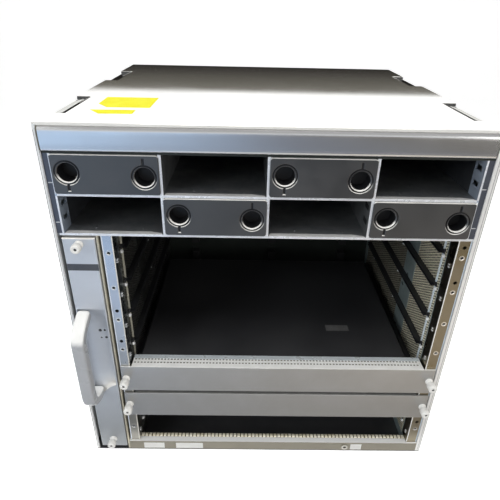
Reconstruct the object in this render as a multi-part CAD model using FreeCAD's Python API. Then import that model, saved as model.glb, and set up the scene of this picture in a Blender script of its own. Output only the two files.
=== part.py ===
import FreeCAD, Part
import math
import os

# Ten-unit rack chassis of a modular switch: a card cage with seven slots, a side
# fan tray on the left and eight power bays on top. +X is to the right, +Y to the
# back and +Z up. The origin is the middle of the underside. Lengths are in mm.

V = FreeCAD.Vector

# Casing
width = 439.4
height = 442.2
depth = 414.0
skin = 1.6                 # outer sheet steel
sheet = 1.2                # folded inner sheet
left_hem = 3.3             # front return of the left side panel
right_hem = 6.0            # front return of the right side panel
cover_lip = 3.0            # fold at the front of the top cover
pan_lip = 14.0             # side folds of the base pan
run = 0.3                  # running clearance of pieces that slide

# Scoops pressed into the long edges of the top cover
scoop_width = 17.7
scoop_drop = 4.0
scoop_ramp = 9.0           # run-in at the front end
scoop_length = 88.0
scoop_starts = (38.0, 243.0)

# Rack bracket holes in the side panels
bracket_hole_r = 2.1
bracket_setback = 22.0     # from the front
bracket_low = 60.0
bracket_top = 71.2         # from the top of the casing

# Vents in the side panels
side_vent_first = 90.0
side_vent_step = 136.0
side_vent_columns = 2
side_vent_long = 124.0
side_vent_tall = 9.0

# Card cage
slots = 7
slot7_floor = 21.6
fan_bay_width = 42.5       # outside of the left panel to the divider wall's left face
divider_wall = 2.0
left_rail_gap = 2.2        # divider wall to the left rail
rail_width = 11.9
rail_sheet = 1.8
rail_return = 16.0         # how far the rail's fold runs back
right_rail_inset = 8.3     # outside of the right panel to the rail
rail_lip = 2.0
rail_lip_depth = 10.0
left_insert_from_edge = 6.0    # from a rail's outer edge to the axis of its tapped holes
right_insert_from_edge = 4.2
insert_below_middle = 1.2       # tapped hole below the middle of its slot
insert_hole_r = 2.0
pin_hole_rise = 12.6       # alignment hole above the tapped hole
left_pin_slots = (3, 4)
right_pin_slots = (1, 2, 7)
pin_hole_r = 2.3
pin_hole_sides = 6
card_depth = 316.0         # front to the backplane
board = 3.0

# Perforations of the cage walls, in each slot
perf_front = (30.0, 94.0)  # start and end of a patch, from the front
perf_rear = (128.0, 304.0)
perf_front_count = 2       # openings along a patch
perf_rear_count = 2
perf_bridge = 6.0
perf_rise = 24.0           # above the slot's floor
perf_top_gap = 4.94        # below the next slot's floor

# Card guides
guide_front = 24.0
guide_back = 290.0
guide_rise = 13.4          # slot's floor to the guide's underside
guide_tall = 5.0
guide_reach = 6.6
guide_wall = 1.6
guide_groove = 2.4
lead_in = 10.0
lead_flare = 2.0

# Backplane connectors
connector_tall = 26.0
connector_wide = 12.0
connector_reach = 14.0
connector_rise = 5.0       # above the slot's floor
connector_places = (0.12, 0.5, 0.85)

# Bottom sill
sill_top = 16.0
sill_shelf = 7.5
gasket_depth = 6.0
gasket_tall = 1.4
gasket_pitch = 28.0
gasket_gap = 2.2
gasket_spine = 1.5         # uncut front edge of the strip
sill_step_past = 1.0       # sill behind the strip
ground_jack_x = 116.0
ground_jack_r = 4.6
ground_jack_bore_r = 2.0
ground_jack_neck_r = 3.4
ground_jack_proud = 1.5
ground_jack_length = 7.0

# Power bays
psu_columns = 4
psu_rows = 2
psu_edge_left = 10.6       # outside of a side panel to the first bay
psu_edge_right = 13.6
psu_divider = 3.2
psu_shelf_low = 2.5
psu_rise = 0.2             # floor of the bays above the last slot
psu_shelf = 2.4
psu_clear = 41.0
psu_depth = 330.0
psu_setback = 1.6          # cage edges behind the front plane
psu_ceiling_sheet = 2.0
latch_hole = 5.0
latch_setback = 10.0
latch_rise = 20.0
psu_side_wall = 2.0
psu_connector_size = (34.0, 12.0, 16.0)
psu_connector_wall = 2.0
psu_connector_floor = 3.0
psu_connector_mouth = 3.0

# Back
service_edge = 8.0         # casing edge to the window behind the fan tray
service_lap = 6.0
service_head_r = 3.2
service_head_sides = 6
service_head_inset = 4.2
rear_vent_gap = 10.0
rear_vent = (22.0, 12.0)

# Power inlets on the back
inlet_flange = (36.0, 30.0)
inlet_cavity = (27.0, 19.0)
inlet_wall = 1.6
inlet_deep = 20.0
inlet_place = 0.36         # across its bay
inlet_flange_thick = 2.5
blade = (2.0, 8.0, 13.0)
blade_spread = 13.0
blade_drop = 4.0

# Bezel
bezel_tall = 23.1
bezel_clear = 1.1          # under the bezel
bezel_proud = 3.0
bezel_wall = 1.8
bezel_ledge = 2.3
bezel_foot = 2.0
bezel_return = 9.0
bezel_left_gap = 0.4
bezel_gap = 2.6            # dark gap at the right end
bezel_bevel = 1.2
bezel_fillet = 0.8

# Fan tray
tray_panel_gap = 3.6       # from the hem to the panel
tray_wall_gap = 1.4        # from the panel to the cage's divider wall
tray_panel_low = 6.0
tray_top_gap = 2.6         # from the panel to the floor of the power bays
tray_panel_thick = 12.0
tray_panel_wall = 2.0
scoop_from_top = 89.9      # below the panel's top
scoop_straight = 77.6
scoop_curve = 48.0
scoop_deep = 8.0
scoop_slope = 1.5          # fall of the scoop's upper edge
scoop_flats = 4            # in the curved floor of the scoop
tray_rib = 1.7
runner_low_top = 28.7
runner_top_tall = 18.58
runner_width = 22.0
runner_setback = 13.0
fan_rows = 4
fan_columns = 2
fan_gap = 1.4              # between neighbouring fans
fan_rim = 2.375            # round the bore at its thinnest
fan_thick = 24.0
fan_first = 92.0           # from the front to the first column
fan_pitch_y = 150.0
fan_bore_sides = 10
fan_hub_r = 13.0
fan_hub_sides = 8
fan_tip_gap = 1.0          # from a vane's tip to the flats of the bore
fan_blades = 5
vane_thick = 1.3
vane_angle = 36.0          # from the plane of rotation
vane_root = 15.0           # chord at the hub
vane_tip = 22.0            # chord at the tip
vane_sink = 1.5            # how deep a vane's root runs into the hub
fan_strut = 4.0
strut_inset = 1.0          # of a strut's end inside the body
rotor_setback = 2.0        # of the hub inside the body
fan_board = 1.6
fan_board_gap = 6.0
fan_motor_plate = 3.0
fan_spin_gap = 0.4
tray_end_gap = 9.0         # from the rear cover to the tray's end

# Fan tray handle
handle_width = 16.0
handle_reach = 33.5
handle_thick = 12.0
handle_from_top = 90.5     # below the panel's top
handle_long = 133.0
handle_top_arm = 28.0      # height over which the upper arm slopes
handle_low_arm = 18.0
handle_round = 4.0
handle_edge_gap = 0.5      # from the panel's left edge
handle_root = 16.0         # an arm's height where it meets the panel
grip_hollow_top = 9.0      # the hand's room ends this far inside the grip's ends
grip_hollow_low = 10.0
foot_spread = 15.0
foot_reach = 12.0
foot_crest = 7.0           # of the foot's ridge, above its underside
foot_tip = 0.12            # share of the reach that is left at the foot's right end

# Captive screws
knob_r = 4.7
knob_neck_r = 3.2
knob_neck = 3.0
tray_knob = 12.5
blank_knob = 15.0
shank_r = 1.9
shank_past_runner = 6.0
shank_past_rail = 5.0
knob_flutes = 8
flute_depth = 0.7
neck_sides = 8
shank_sides = 10
driver_slot = 1.2
tray_screw_from_top = 7.0  # of the panel
tray_screw_from_low = 14.5

# Slot blanks
blank_gap = 0.6            # under a face
blank_top_gap = 4.5        # over a face
blank_face = 1.8
blank_left_inset = 0.4     # of the face inside the left rail's edge
blank_right_past = 0.8     # of the face past the right rail's edge
blank_fold_inset = 2.0     # of the folds inside the cage walls
blank_flange = 21.4
blank_return = 12.0
blank_tray_back = 262.0
blank_tray_lap = 4.0       # under the face's upper fold
blank_wing_gap = 1.0       # from a wing's edge to its guide's wall
blank_tray_inset_left = 10.0
blank_tray_inset_right = 18.0
blank_gasket_deep = 6.5
blank_gasket_thick = 0.4
blank_slots = (5, 6)
screw_clear_r = 2.4

# Power bay blanks
blank_depth = 14.0
blank_wall = 2.0
blank_corner_r = 3.0
blank_chamfer = 0.8
blank_plate = 1.2          # thickness of the cover's lapped rim
blank_lap = 1.2            # rim past the cover's sides
corner_sides = 2           # flats in a moulded corner
cup_edge = 13.6           # from the cover's end to a cup's axis
cup_stagger = 1.8          # left cup above the middle, right cup below
cup_r = 9.6
cup_deep = 16.0
cup_wall = 1.6
ring_r = 12.3
ring_lip = 1.4
ring_deep = 1.2
ring_sides = 16
pry_slot = (2.8, 6.5)
tongue = (1.5, 22.0, 46.0)
tongue_lap = 1.0           # of a tongue inside the shell
psu_blanks = ((1, 1), (3, 1), (2, 2), (4, 2))

front = -depth / 2
back = depth / 2
left = -width / 2
right = width / 2
wall_x = left + fan_bay_width
left_rail_x = wall_x + divider_wall + left_rail_gap
cage_left = left_rail_x + rail_width
right_rail_x = right - right_rail_inset
cage_right = right_rail_x - rail_width
left_insert_x = left_rail_x + left_insert_from_edge
right_insert_x = right_rail_x - right_insert_from_edge
bezel_top = height - cover_lip
bezel_low = bezel_top - bezel_tall
psu_top = bezel_low - bezel_clear - psu_ceiling_sheet
psu_floor = psu_top - psu_rows * psu_clear - (psu_rows - 1) * psu_shelf
shelf_low_z = psu_floor - psu_shelf_low
card_pitch = (psu_floor - psu_rise - slot7_floor) / slots
insert_rise = card_pitch / 2 - insert_below_middle
bay_left = left + psu_edge_left
bay_right = right - psu_edge_right
bay_clear = (bay_right - bay_left - (psu_columns - 1) * psu_divider) / psu_columns
rail_y = front + blank_face + run
backplane_y = front + card_depth
tray_left = left + left_hem + tray_panel_gap
tray_right = wall_x - tray_wall_gap
tray_x = (tray_left + tray_right) / 2
tray_back = back - skin - tray_end_gap
tray_panel_top = shelf_low_z - tray_top_gap
tray_screw_top = tray_panel_top - tray_screw_from_top
tray_screw_low = tray_panel_low + tray_screw_from_low
runner_top_low = shelf_low_z - runner_top_tall
scoop_top = tray_panel_top - scoop_from_top
scoop_floor_low = scoop_top - scoop_straight
scoop_low = scoop_floor_low - scoop_curve
handle_top = tray_panel_top - handle_from_top
handle_foot = handle_top - handle_long
handle_grip_top = handle_top - handle_top_arm
handle_grip_low = handle_foot + handle_low_arm
fan_pitch_z = (runner_top_low - runner_low_top - 2 * run - 2 * sheet) / fan_rows
fan_size = fan_pitch_z - fan_gap
fan_bore_r = fan_size / 2 - fan_rim
fan_tip_r = fan_bore_r * math.cos(math.pi / fan_bore_sides) - fan_tip_gap


def slot_floor(slot):
    """Height of the underside of a slot; slot 1 is on top and slot 7 at the bottom."""
    return slot7_floor + card_pitch * (slots - slot)


def psu_place(column, row):
    """Left side and floor of a power bay; row 1 is the upper one."""
    x = bay_left + (column - 1) * (bay_clear + psu_divider)
    z = psu_floor + (psu_rows - row) * (psu_clear + psu_shelf)
    return x, z


def block(x, y, z):
    """A block between the low and high value given for each axis."""
    return Part.makeBox(x[1] - x[0], y[1] - y[0], z[1] - z[0], V(x[0], y[0], z[0]))


def along(axis, points, low, high):
    """A closed outline extruded along X, Y or Z; its points give the other two axes."""
    order = {"X": lambda u, v: V(low, u, v), "Y": lambda u, v: V(u, low, v), "Z": lambda u, v: V(u, v, low)}
    corners = [order[axis](u, v) for u, v in points]
    push = {"X": V(high - low, 0, 0), "Y": V(0, high - low, 0), "Z": V(0, 0, high - low)}
    return Part.Face(Part.makePolygon(corners + corners[:1])).extrude(push[axis])


def rectangle(u, v):
    """Corners of a rectangle between two values on each axis."""
    return [(u[0], v[0]), (u[1], v[0]), (u[1], v[1]), (u[0], v[1])]


def ring(u, v, radius, sides):
    """Corners of a regular outline round a centre."""
    turns = [2 * math.pi * (i + 0.5) / sides for i in range(sides)]
    return [(u + radius * math.cos(turn), v + radius * math.sin(turn)) for turn in turns]


def rounded(u, v, radius):
    """Corners of a rectangle whose own corners are moulded round, in a few flats."""
    corners = ((u[1] - radius, v[1] - radius, 0), (u[0] + radius, v[1] - radius, 90),
               (u[0] + radius, v[0] + radius, 180), (u[1] - radius, v[0] + radius, 270))
    outline = []
    for cu, cv, first in corners:
        for step in range(corner_sides + 1):
            turn = math.radians(first + 90 * step / corner_sides)
            outline.append((cu + radius * math.cos(turn), cv + radius * math.sin(turn)))
    return outline


def pierced(axis, u, v, low, high, outlines=(), rounds=()):
    """A flat plate across an axis, with straight-sided outlines and round holes cut through it."""
    order = {"X": lambda a, b: V(low, a, b), "Y": lambda a, b: V(a, low, b), "Z": lambda a, b: V(a, b, low)}
    normal = {"X": V(1, 0, 0), "Y": V(0, 1, 0), "Z": V(0, 0, 1)}[axis]

    def loop(points):
        corners = [order[axis](a, b) for a, b in points]
        return Part.makePolygon(corners + corners[:1])

    holes = [loop(outline) for outline in outlines]
    holes += [Part.Wire(Part.makeCircle(r, order[axis](a, b), normal)) for a, b, r in rounds]
    plate = Part.makeFace([loop(rectangle(u, v))] + holes, "Part::FaceMakerBullseye")
    return plate.extrude(normal * (high - low))


def skinned(sections):
    """A solid with flat facets through sections that have the same number of corners."""
    facets = [sections[0], sections[-1]]
    for near, far in zip(sections, sections[1:]):
        for i in range(len(near)):
            j = (i + 1) % len(near)
            facets += [[near[i], near[j], far[j]], [near[i], far[j], far[i]]]
    faces = [Part.Face(Part.makePolygon(corners + corners[:1])) for corners in facets]
    solid = Part.Solid(Part.Shell(faces))
    if solid.Volume < 0:
        solid.reverse()
    return solid.removeSplitter()


def fused(solids):
    """Touching solids joined into one, with their shared faces merged."""
    return solids[0].multiFuse(solids[1:]).removeSplitter()


def scoop_openings():
    """Front and back of each scoop in the edge of the top cover."""
    return [(front + start, front + start + scoop_length) for start in scoop_starts]


# ---------------------------------------------------------------- casing

def base_pan():
    """Flat floor of the casing with a fold up along each side."""
    floor = block((left, right), (front, back), (0, skin))
    left_lip = block((left + skin, left + 2 * skin), (front + skin, back - skin), (skin, pan_lip))
    right_lip = block((right - 2 * skin, right - skin), (front + skin, back - skin), (skin, pan_lip))
    return fused([floor, left_lip, right_lip])


def side_panel(outer, inward, hem):
    """Side of the casing: vents, rack bracket holes, a front return and low edges at the scoops."""
    top = height - skin
    windows = []
    for column in range(side_vent_columns):
        y = front + side_vent_first + column * side_vent_step
        for slot in range(1, slots + 1):
            z = slot_floor(slot) + (card_pitch - side_vent_tall) / 2
            windows.append(rectangle((y, y + side_vent_long), (z, z + side_vent_tall)))
    rounds = [(front + bracket_setback, z, bracket_hole_r) for z in (bracket_low, height - bracket_top)]
    low, high = sorted((outer, outer + inward * skin))
    panel = pierced("X", (front, back), (skin, top), low, high, windows, rounds)
    fold = sorted((outer, outer + inward * hem))
    panel = fused([panel, block(fold, (front, front + skin), (skin, top))])
    for start, end in scoop_openings():
        notch = block((low, high), (start, end + skin), (top - scoop_drop, top + 1))
        panel = panel.cut(notch)
    return panel


def scoop(edge, inward, start, end):
    """One pressed scoop: flush at its front end, lanced open at its back end."""
    inner = edge + inward * scoop_width
    sections = []
    for y, drop in ((start, 0.0), (start + scoop_ramp, scoop_drop), (end, scoop_drop)):
        sections.append([V(inner, y, height), V(edge, y, height - drop),
                         V(edge, y, height - drop - skin), V(inner, y, height - skin)])
    return skinned(sections)


def top_cover():
    """Lid with a short fold at the front and four pressed scoops in its long edges."""
    lid = block((left, right), (front, back), (height - skin, height))
    lip = block((left + left_hem, right - right_hem), (front, front + skin),
                (height - cover_lip, height - skin))
    lid = fused([lid, lip])
    scoops = []
    for start, end in scoop_openings():
        for edge, inward in ((left, 1), (right, -1)):
            inner = edge + inward * scoop_width
            lid = lid.cut(block(sorted((edge, inner)), (start, end), (height - skin, height)))
            scoops.append(scoop(edge, inward, start, end))
    return fused([lid] + scoops)


def rear_panel():
    """Back sheet with a cut-out for each power inlet and a window behind the fan tray."""
    windows = [rectangle((left + service_edge, wall_x - service_edge / 2), (runner_low_top, runner_top_low))]
    for column in range(1, psu_columns + 1):
        for row in range(1, psu_rows + 1):
            x, z = inlet_centre(column, row)
            half_x = inlet_cavity[0] / 2 + inlet_wall
            half_z = inlet_cavity[1] / 2 + inlet_wall
            windows.append(rectangle((x - half_x, x + half_x), (z - half_z, z + half_z)))
            vent_x = x + inlet_flange[0] / 2 + rear_vent_gap
            half_vent = rear_vent[1] / 2
            windows.append(rectangle((vent_x, vent_x + rear_vent[0]), (z - half_vent, z + half_vent)))
    return pierced("Y", (left + skin, right - skin), (skin, height - skin), back - skin, back, windows)


def rear_service_cover():
    """Plate over the window behind the fan tray, held by four screws."""
    x = (left + service_edge - service_lap, wall_x - service_edge / 2 + service_lap / 2)
    z = (runner_low_top - service_lap, runner_top_low + service_lap)
    plate = block(x, (back, back + sheet), z)
    inset = service_head_inset
    heads = [along("Y", ring(px, pz, service_head_r, service_head_sides), back + sheet, back + 2 * sheet)
             for px in (x[0] + inset, x[1] - inset) for pz in (z[0] + inset, z[1] - inset)]
    return fused([plate] + heads)


def inlet_centre(column, row):
    """Centre of a power inlet on the back, behind the left part of its bay."""
    x, z = psu_place(column, row)
    return x + inlet_place * bay_clear, z + psu_clear / 2


def power_inlets():
    """Eight appliance inlets: a flange, a box-shaped cavity and three blades."""
    inlets = []
    for column in range(1, psu_columns + 1):
        for row in range(1, psu_rows + 1):
            inlets.append(power_inlet(*inlet_centre(column, row)))
    return Part.makeCompound(inlets)


def power_inlet(x, z):
    """One inlet, with its mouth at the back of the casing."""
    half_x, half_z = inlet_cavity[0] / 2, inlet_cavity[1] / 2
    can_x, can_z = half_x + inlet_wall, half_z + inlet_wall
    floor_y = back - inlet_deep
    flange = block((x - inlet_flange[0] / 2, x + inlet_flange[0] / 2), (back, back + inlet_flange_thick),
                   (z - inlet_flange[1] / 2, z + inlet_flange[1] / 2))
    can = block((x - can_x, x + can_x), (floor_y - inlet_wall, back), (z - can_z, z + can_z))
    cavity = block((x - half_x, x + half_x), (floor_y, back + inlet_flange_thick), (z - half_z, z + half_z))
    body = fused([flange, can]).cut(cavity)
    wide, tall, long = blade
    blades = []
    for place, rise in ((-1, 1), (0, -1), (1, 1)):
        blade_x = x + place * blade_spread / 2
        blade_z = z + rise * blade_drop / 2
        blades.append(block((blade_x - wide / 2, blade_x + wide / 2), (floor_y, floor_y + long),
                            (blade_z - tall / 2, blade_z + tall / 2)))
    return fused([body] + blades)


# ---------------------------------------------------------------- front trim

def front_bezel():
    """Moulded trim strip across the top of the front, an open channel in section."""
    face = front - bezel_proud
    inside = face + bezel_wall
    rim = front + bezel_return
    outline = [(face, bezel_low + bezel_foot), (face, bezel_top - bezel_ledge),
               (face + bezel_bevel, bezel_top), (rim, bezel_top), (rim, bezel_top - bezel_wall),
               (inside + bezel_fillet, bezel_top - bezel_wall),
               (inside, bezel_top - bezel_ledge - bezel_fillet),
               (inside, bezel_low + bezel_foot + bezel_fillet),
               (inside + bezel_fillet, bezel_low + bezel_wall), (rim, bezel_low + bezel_wall),
               (rim, bezel_low), (face + bezel_bevel, bezel_low)]
    return along("X", outline, left + left_hem + bezel_left_gap, right - right_hem - bezel_gap)


def bottom_sill():
    """Folded strip under the card cage: a front web, a narrow shelf and a lower step behind it."""
    ends = (wall_x + divider_wall, right - right_hem)
    step_top = sill_top - skin
    web = block(ends, (front, front + skin), (skin, sill_top))
    shelf = block(ends, (front + skin, front + sill_shelf), (step_top, sill_top))
    step_back = front + sill_shelf + gasket_depth + sill_step_past
    step = block(ends, (front + sill_shelf - skin, step_back), (step_top - skin, step_top))
    neck = ring(ground_jack_x, sill_top / 2, ground_jack_neck_r, neck_sides)
    return fused([web, shelf, step]).cut(along("Y", neck, front, front + skin))


def emi_gasket():
    """Springy contact strip on the sill, cut into teeth along its back edge."""
    start, end = cage_left, cage_right
    count = int((end - start) / gasket_pitch)
    pitch = (end - start) / count
    y0 = front + sill_shelf
    spine = y0 + gasket_spine
    tip = y0 + gasket_depth
    outline = [(end, y0), (start, y0)]
    for i in range(count):
        x = start + i * pitch
        outline += [(x, spine), (x, tip), (x + pitch - gasket_gap, tip), (x + pitch - gasket_gap, spine)]
    outline.remove((start, spine))
    outline.append((end, spine))
    low = sill_top - skin
    return along("Z", outline, low, low + gasket_tall)


def ground_jack():
    """Wrist-strap jack in the sill: a collar with a bore."""
    y = front - ground_jack_proud
    z = sill_top / 2
    collar = along("Y", ring(ground_jack_x, z, ground_jack_r, neck_sides), y, front)
    barrel = along("Y", ring(ground_jack_x, z, ground_jack_neck_r, neck_sides), front, y + ground_jack_length)
    bore = Part.makeCylinder(ground_jack_bore_r, ground_jack_length, V(ground_jack_x, y, z), V(0, 1, 0))
    return fused([collar, barrel]).cut(bore)


# ---------------------------------------------------------------- power bays

def psu_side(edge, inward):
    """Outer wall of the power bays, with a front flange out to the side panel."""
    web_in = bay_left if inward > 0 else bay_right
    web = sorted((web_in - inward * psu_side_wall, web_in))
    hem = left_hem if inward > 0 else right_hem
    flange = sorted((edge + inward * hem, web_in - inward * psu_side_wall))
    y0 = front + psu_setback
    latch_y = y0 + latch_setback
    holes = []
    for row in range(1, psu_rows + 1):
        latch_z = psu_place(1, row)[1] + latch_rise
        holes.append(rectangle((latch_y, latch_y + latch_hole), (latch_z, latch_z + latch_hole)))
    wall = pierced("X", (y0, front + psu_depth), (psu_floor, psu_top), web[0], web[1], holes)
    strip = block(flange, (y0, y0 + sheet), (psu_floor, psu_top))
    return fused([wall, strip])


def psu_shelf_low_plate():
    """Floor of the lower row; it also roofs the card cage and reaches both side panels."""
    return block((left + skin, right - skin), (front + psu_setback, back - skin), (shelf_low_z, psu_floor))


def psu_shelf_mid_plate():
    """Shelf between the two rows."""
    z = psu_floor + psu_clear
    return block((bay_left, bay_right), (front + psu_setback, front + psu_depth), (z, z + psu_shelf))


def psu_ceiling():
    """Sheet over the upper row, reaching both side panels."""
    return block((left + skin, right - skin), (front + psu_setback, front + psu_depth),
                 (psu_top, psu_top + psu_ceiling_sheet))


def psu_dividers():
    """The upright dividers between neighbouring bays of both rows."""
    walls = []
    for row in range(1, psu_rows + 1):
        for column in range(1, psu_columns):
            x, z = psu_place(column, row)
            walls.append(block((x + bay_clear, x + bay_clear + psu_divider),
                               (front + psu_setback, front + psu_depth), (z, z + psu_clear)))
    return Part.makeCompound(walls)


def psu_backplane():
    """Power board that closes the back of the bays."""
    return block((bay_left - psu_side_wall, bay_right + psu_side_wall),
                 (front + psu_depth, front + psu_depth + board), (psu_floor, psu_top))


def psu_connectors():
    """One blade connector on the power board for each bay."""
    wide, deep, tall = psu_connector_size
    blocks = []
    for column in range(1, psu_columns + 1):
        for row in range(1, psu_rows + 1):
            x, z = psu_place(column, row)
            x += (bay_clear - wide) / 2
            z += (psu_clear - tall) / 2
            body = block((x, x + wide), (front + psu_depth - deep, front + psu_depth), (z, z + tall))
            mouth = block((x + psu_connector_wall, x + wide - psu_connector_wall),
                          (front + psu_depth - deep, front + psu_depth - psu_connector_floor),
                          (z + (tall - psu_connector_mouth) / 2, z + (tall + psu_connector_mouth) / 2))
            blocks.append(body.cut(mouth))
    return Part.makeCompound(blocks)


# ---------------------------------------------------------------- card cage

def fan_centres():
    """Y and Z of each fan's axis, column by column."""
    middle = (runner_low_top + runner_top_low) / 2
    first = middle - (fan_rows - 1) / 2 * fan_pitch_z
    return [(front + fan_first + c * fan_pitch_y, first + r * fan_pitch_z)
            for c in range(fan_columns) for r in range(fan_rows)]


def fan_bay_wall():
    """Wall between the fan tray and the card cage, with a round window at each fan."""
    windows = [ring(y, z, fan_bore_r, fan_bore_sides) for y, z in fan_centres()]
    return pierced("X", (front, back - skin), (skin, shelf_low_z), wall_x, wall_x + divider_wall, windows)


def cage_wall(low, high):
    """Side of the card cage, pierced between the guides by two patches of openings."""
    windows = []
    for slot in range(1, slots + 1):
        z = (slot_floor(slot) + perf_rise, slot_floor(slot) + card_pitch - perf_top_gap)
        for (start, end), count in ((perf_front, perf_front_count), (perf_rear, perf_rear_count)):
            pitch = (end - start + perf_bridge) / count
            for i in range(count):
                y = front + start + i * pitch
                windows.append(rectangle((y, y + pitch - perf_bridge), z))
    return pierced("X", (rail_y + rail_return, backplane_y), (skin, shelf_low_z), low, high, windows)


def rail(outer, inward, lip, pin_slots):
    """Front rail of the card cage, folded back along the cage wall, with tapped and alignment holes."""
    inner = outer + inward * rail_width
    x = left_insert_x if inward > 0 else right_insert_x
    heights = [slot_floor(slot) + insert_rise for slot in range(1, slots + 1)]
    tapped = [(x, z, insert_hole_r) for z in heights]
    pins = [ring(x, slot_floor(slot) + insert_rise + pin_hole_rise, pin_hole_r, pin_hole_sides)
            for slot in pin_slots]
    upright = (sill_top, shelf_low_z)
    fold_y = rail_y + rail_sheet
    face = pierced("Y", sorted((outer, inner)), upright, rail_y, fold_y, pins, tapped)
    folds = [block(sorted((inner, inner - inward * skin)), (fold_y, rail_y + rail_return), upright)]
    if lip:
        folds.append(block(sorted((outer, outer - inward * lip)), (rail_y, rail_y + rail_lip_depth), upright))
    return fused([face] + folds)


def card_guide(wall, inward, slot):
    """One moulded channel on the cage wall, with a flared mouth at its front."""
    low = slot_floor(slot) + guide_rise
    mid = low + guide_tall / 2
    back_x = wall + inward * guide_wall
    tip_x = wall + inward * guide_reach
    half = guide_groove / 2
    outline = [(wall, low), (tip_x, low), (tip_x, mid - half), (back_x, mid - half),
               (back_x, mid + half), (tip_x, mid + half), (tip_x, low + guide_tall), (wall, low + guide_tall)]
    body = along("Y", outline, front + guide_front, front + guide_back)
    y0, y1 = front + guide_front, front + guide_front + lead_in
    flare = [(y0, mid - half - lead_flare), (y0, mid + half + lead_flare), (y1, mid + half), (y1, mid - half)]
    return body.cut(along("X", flare, *sorted((back_x, tip_x))))


def card_guides(wall, inward):
    """The guides of all slots on one side."""
    return Part.makeCompound([card_guide(wall, inward, slot) for slot in range(1, slots + 1)])


def backplane():
    """Circuit board across the back of the card cage."""
    return block((cage_left, cage_right), (backplane_y, backplane_y + board), (skin, shelf_low_z))


def backplane_connectors():
    """Card connectors, three to a slot."""
    blocks = []
    span = cage_right - cage_left
    for slot in range(1, slots + 1):
        z = slot_floor(slot) + connector_rise
        for place in connector_places:
            x = cage_left + place * span
            blocks.append(block((x, x + connector_wide), (backplane_y - connector_reach, backplane_y),
                                (z, z + connector_tall)))
    return Part.makeCompound(blocks)


# ---------------------------------------------------------------- fan tray

def fan_runner(low, high, inner_low):
    """Box-section runner of the fan tray, with a threaded hole in its front plate."""
    x = (tray_x - runner_width / 2, tray_x + runner_width / 2)
    y = (front + runner_setback, back - skin)
    shell = block(x, y, (low, high))
    hollow = block((x[0] + skin, x[1] - skin), (y[0] + 2 * skin, y[1]), inner_low)
    screw_z = tray_screw_low if low < height / 2 else tray_screw_top
    hole = along("Y", ring(tray_x, screw_z, screw_clear_r, neck_sides), y[0], y[0] + 2 * skin)
    return shell.cut(hollow).cut(hole)


def fan_tray_panel():
    """Moulded front of the fan tray, hollow behind, with a finger scoop behind the handle."""
    y0, y1 = front, front + tray_panel_thick
    body = block((tray_left, tray_right), (y0, y1), (tray_panel_low, tray_panel_top))
    scoop_y = y0 + scoop_deep
    profile = [(y0, scoop_top), (scoop_y, scoop_top - scoop_slope), (scoop_y, scoop_floor_low)]
    for step in range(1, scoop_flats + 1):
        turn = math.radians(90 * step / scoop_flats)
        profile.append((y0 + scoop_deep * math.cos(turn),
                        scoop_floor_low - (scoop_floor_low - scoop_low) * math.sin(turn)))
    body = body.cut(along("X", profile, tray_left + tray_rib, tray_right - tray_rib))
    wall = tray_panel_wall
    for z in ((tray_panel_low + wall, scoop_low - wall), (scoop_top + wall, tray_panel_top - wall)):
        body = body.cut(block((tray_left + wall, tray_right - wall), (y0 + wall, y1), z))
    for z in (tray_screw_low, tray_screw_top):
        body = body.cut(along("Y", ring(tray_x, z, screw_clear_r, neck_sides), y0, y1))
    return body


def fan_tray_handle():
    """Bow handle with sloping arms and a foot that spreads on the panel."""
    grip = front - handle_reach
    inner = grip + handle_thick
    outline = [(front, handle_top), (grip, handle_grip_top), (grip, handle_grip_low), (front, handle_foot),
               (front, handle_foot + handle_root), (inner, handle_grip_low + grip_hollow_low),
               (inner, handle_grip_top - grip_hollow_top), (front, handle_top - handle_root)]
    x = (tray_left + handle_edge_gap, tray_left + handle_edge_gap + handle_width)
    bow = along("X", outline, *x)
    bow = bow.makeFillet(handle_round, [edge for edge in bow.Edges if edge_is_outer(edge, grip)])
    foot = skinned([foot_outline(x[1], foot_reach), foot_outline(x[1] + foot_spread, foot_reach * foot_tip)])
    return fused([bow, foot])


def edge_is_outer(edge, grip):
    """True for the edges along the outside of the bow's grip."""
    middle = edge.CenterOfMass
    return abs(middle.y - grip) < 0.01


def foot_outline(x, reach):
    """Triangle of the lower arm's foot at a place along X."""
    return [V(x, front, handle_foot), V(x, front - reach, handle_foot + foot_crest),
            V(x, front, handle_foot + handle_root)]


def fan_tray_frame():
    """Folded carrier of the fans: a web with a round window at each fan, and flanges."""
    z = (runner_low_top + run, runner_top_low - run)
    y = (front + tray_panel_thick, tray_back)
    web_x = (tray_right - sheet, tray_right)
    windows = [ring(cy, cz, fan_bore_r, fan_bore_sides) for cy, cz in fan_centres()]
    web = pierced("X", y, z, web_x[0], web_x[1], windows)
    bottom = block((tray_left, web_x[0]), y, (z[0], z[0] + sheet))
    top = block((tray_left, web_x[0]), y, (z[1] - sheet, z[1]))
    end = block((tray_left, web_x[0]), (y[1] - sheet, y[1]), (z[0] + sheet, z[1] - sheet))
    return fused([web, bottom, top, end])


def fan_tray_board():
    """Control board of the fan tray, behind the second column of fans."""
    y = fan_centres()[-1][0] + fan_size / 2 + fan_board_gap
    z = (runner_low_top + run + sheet, runner_top_low - run - sheet)
    return block((tray_right - sheet - fan_board, tray_right - sheet), (y, tray_back - sheet), z)


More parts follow.
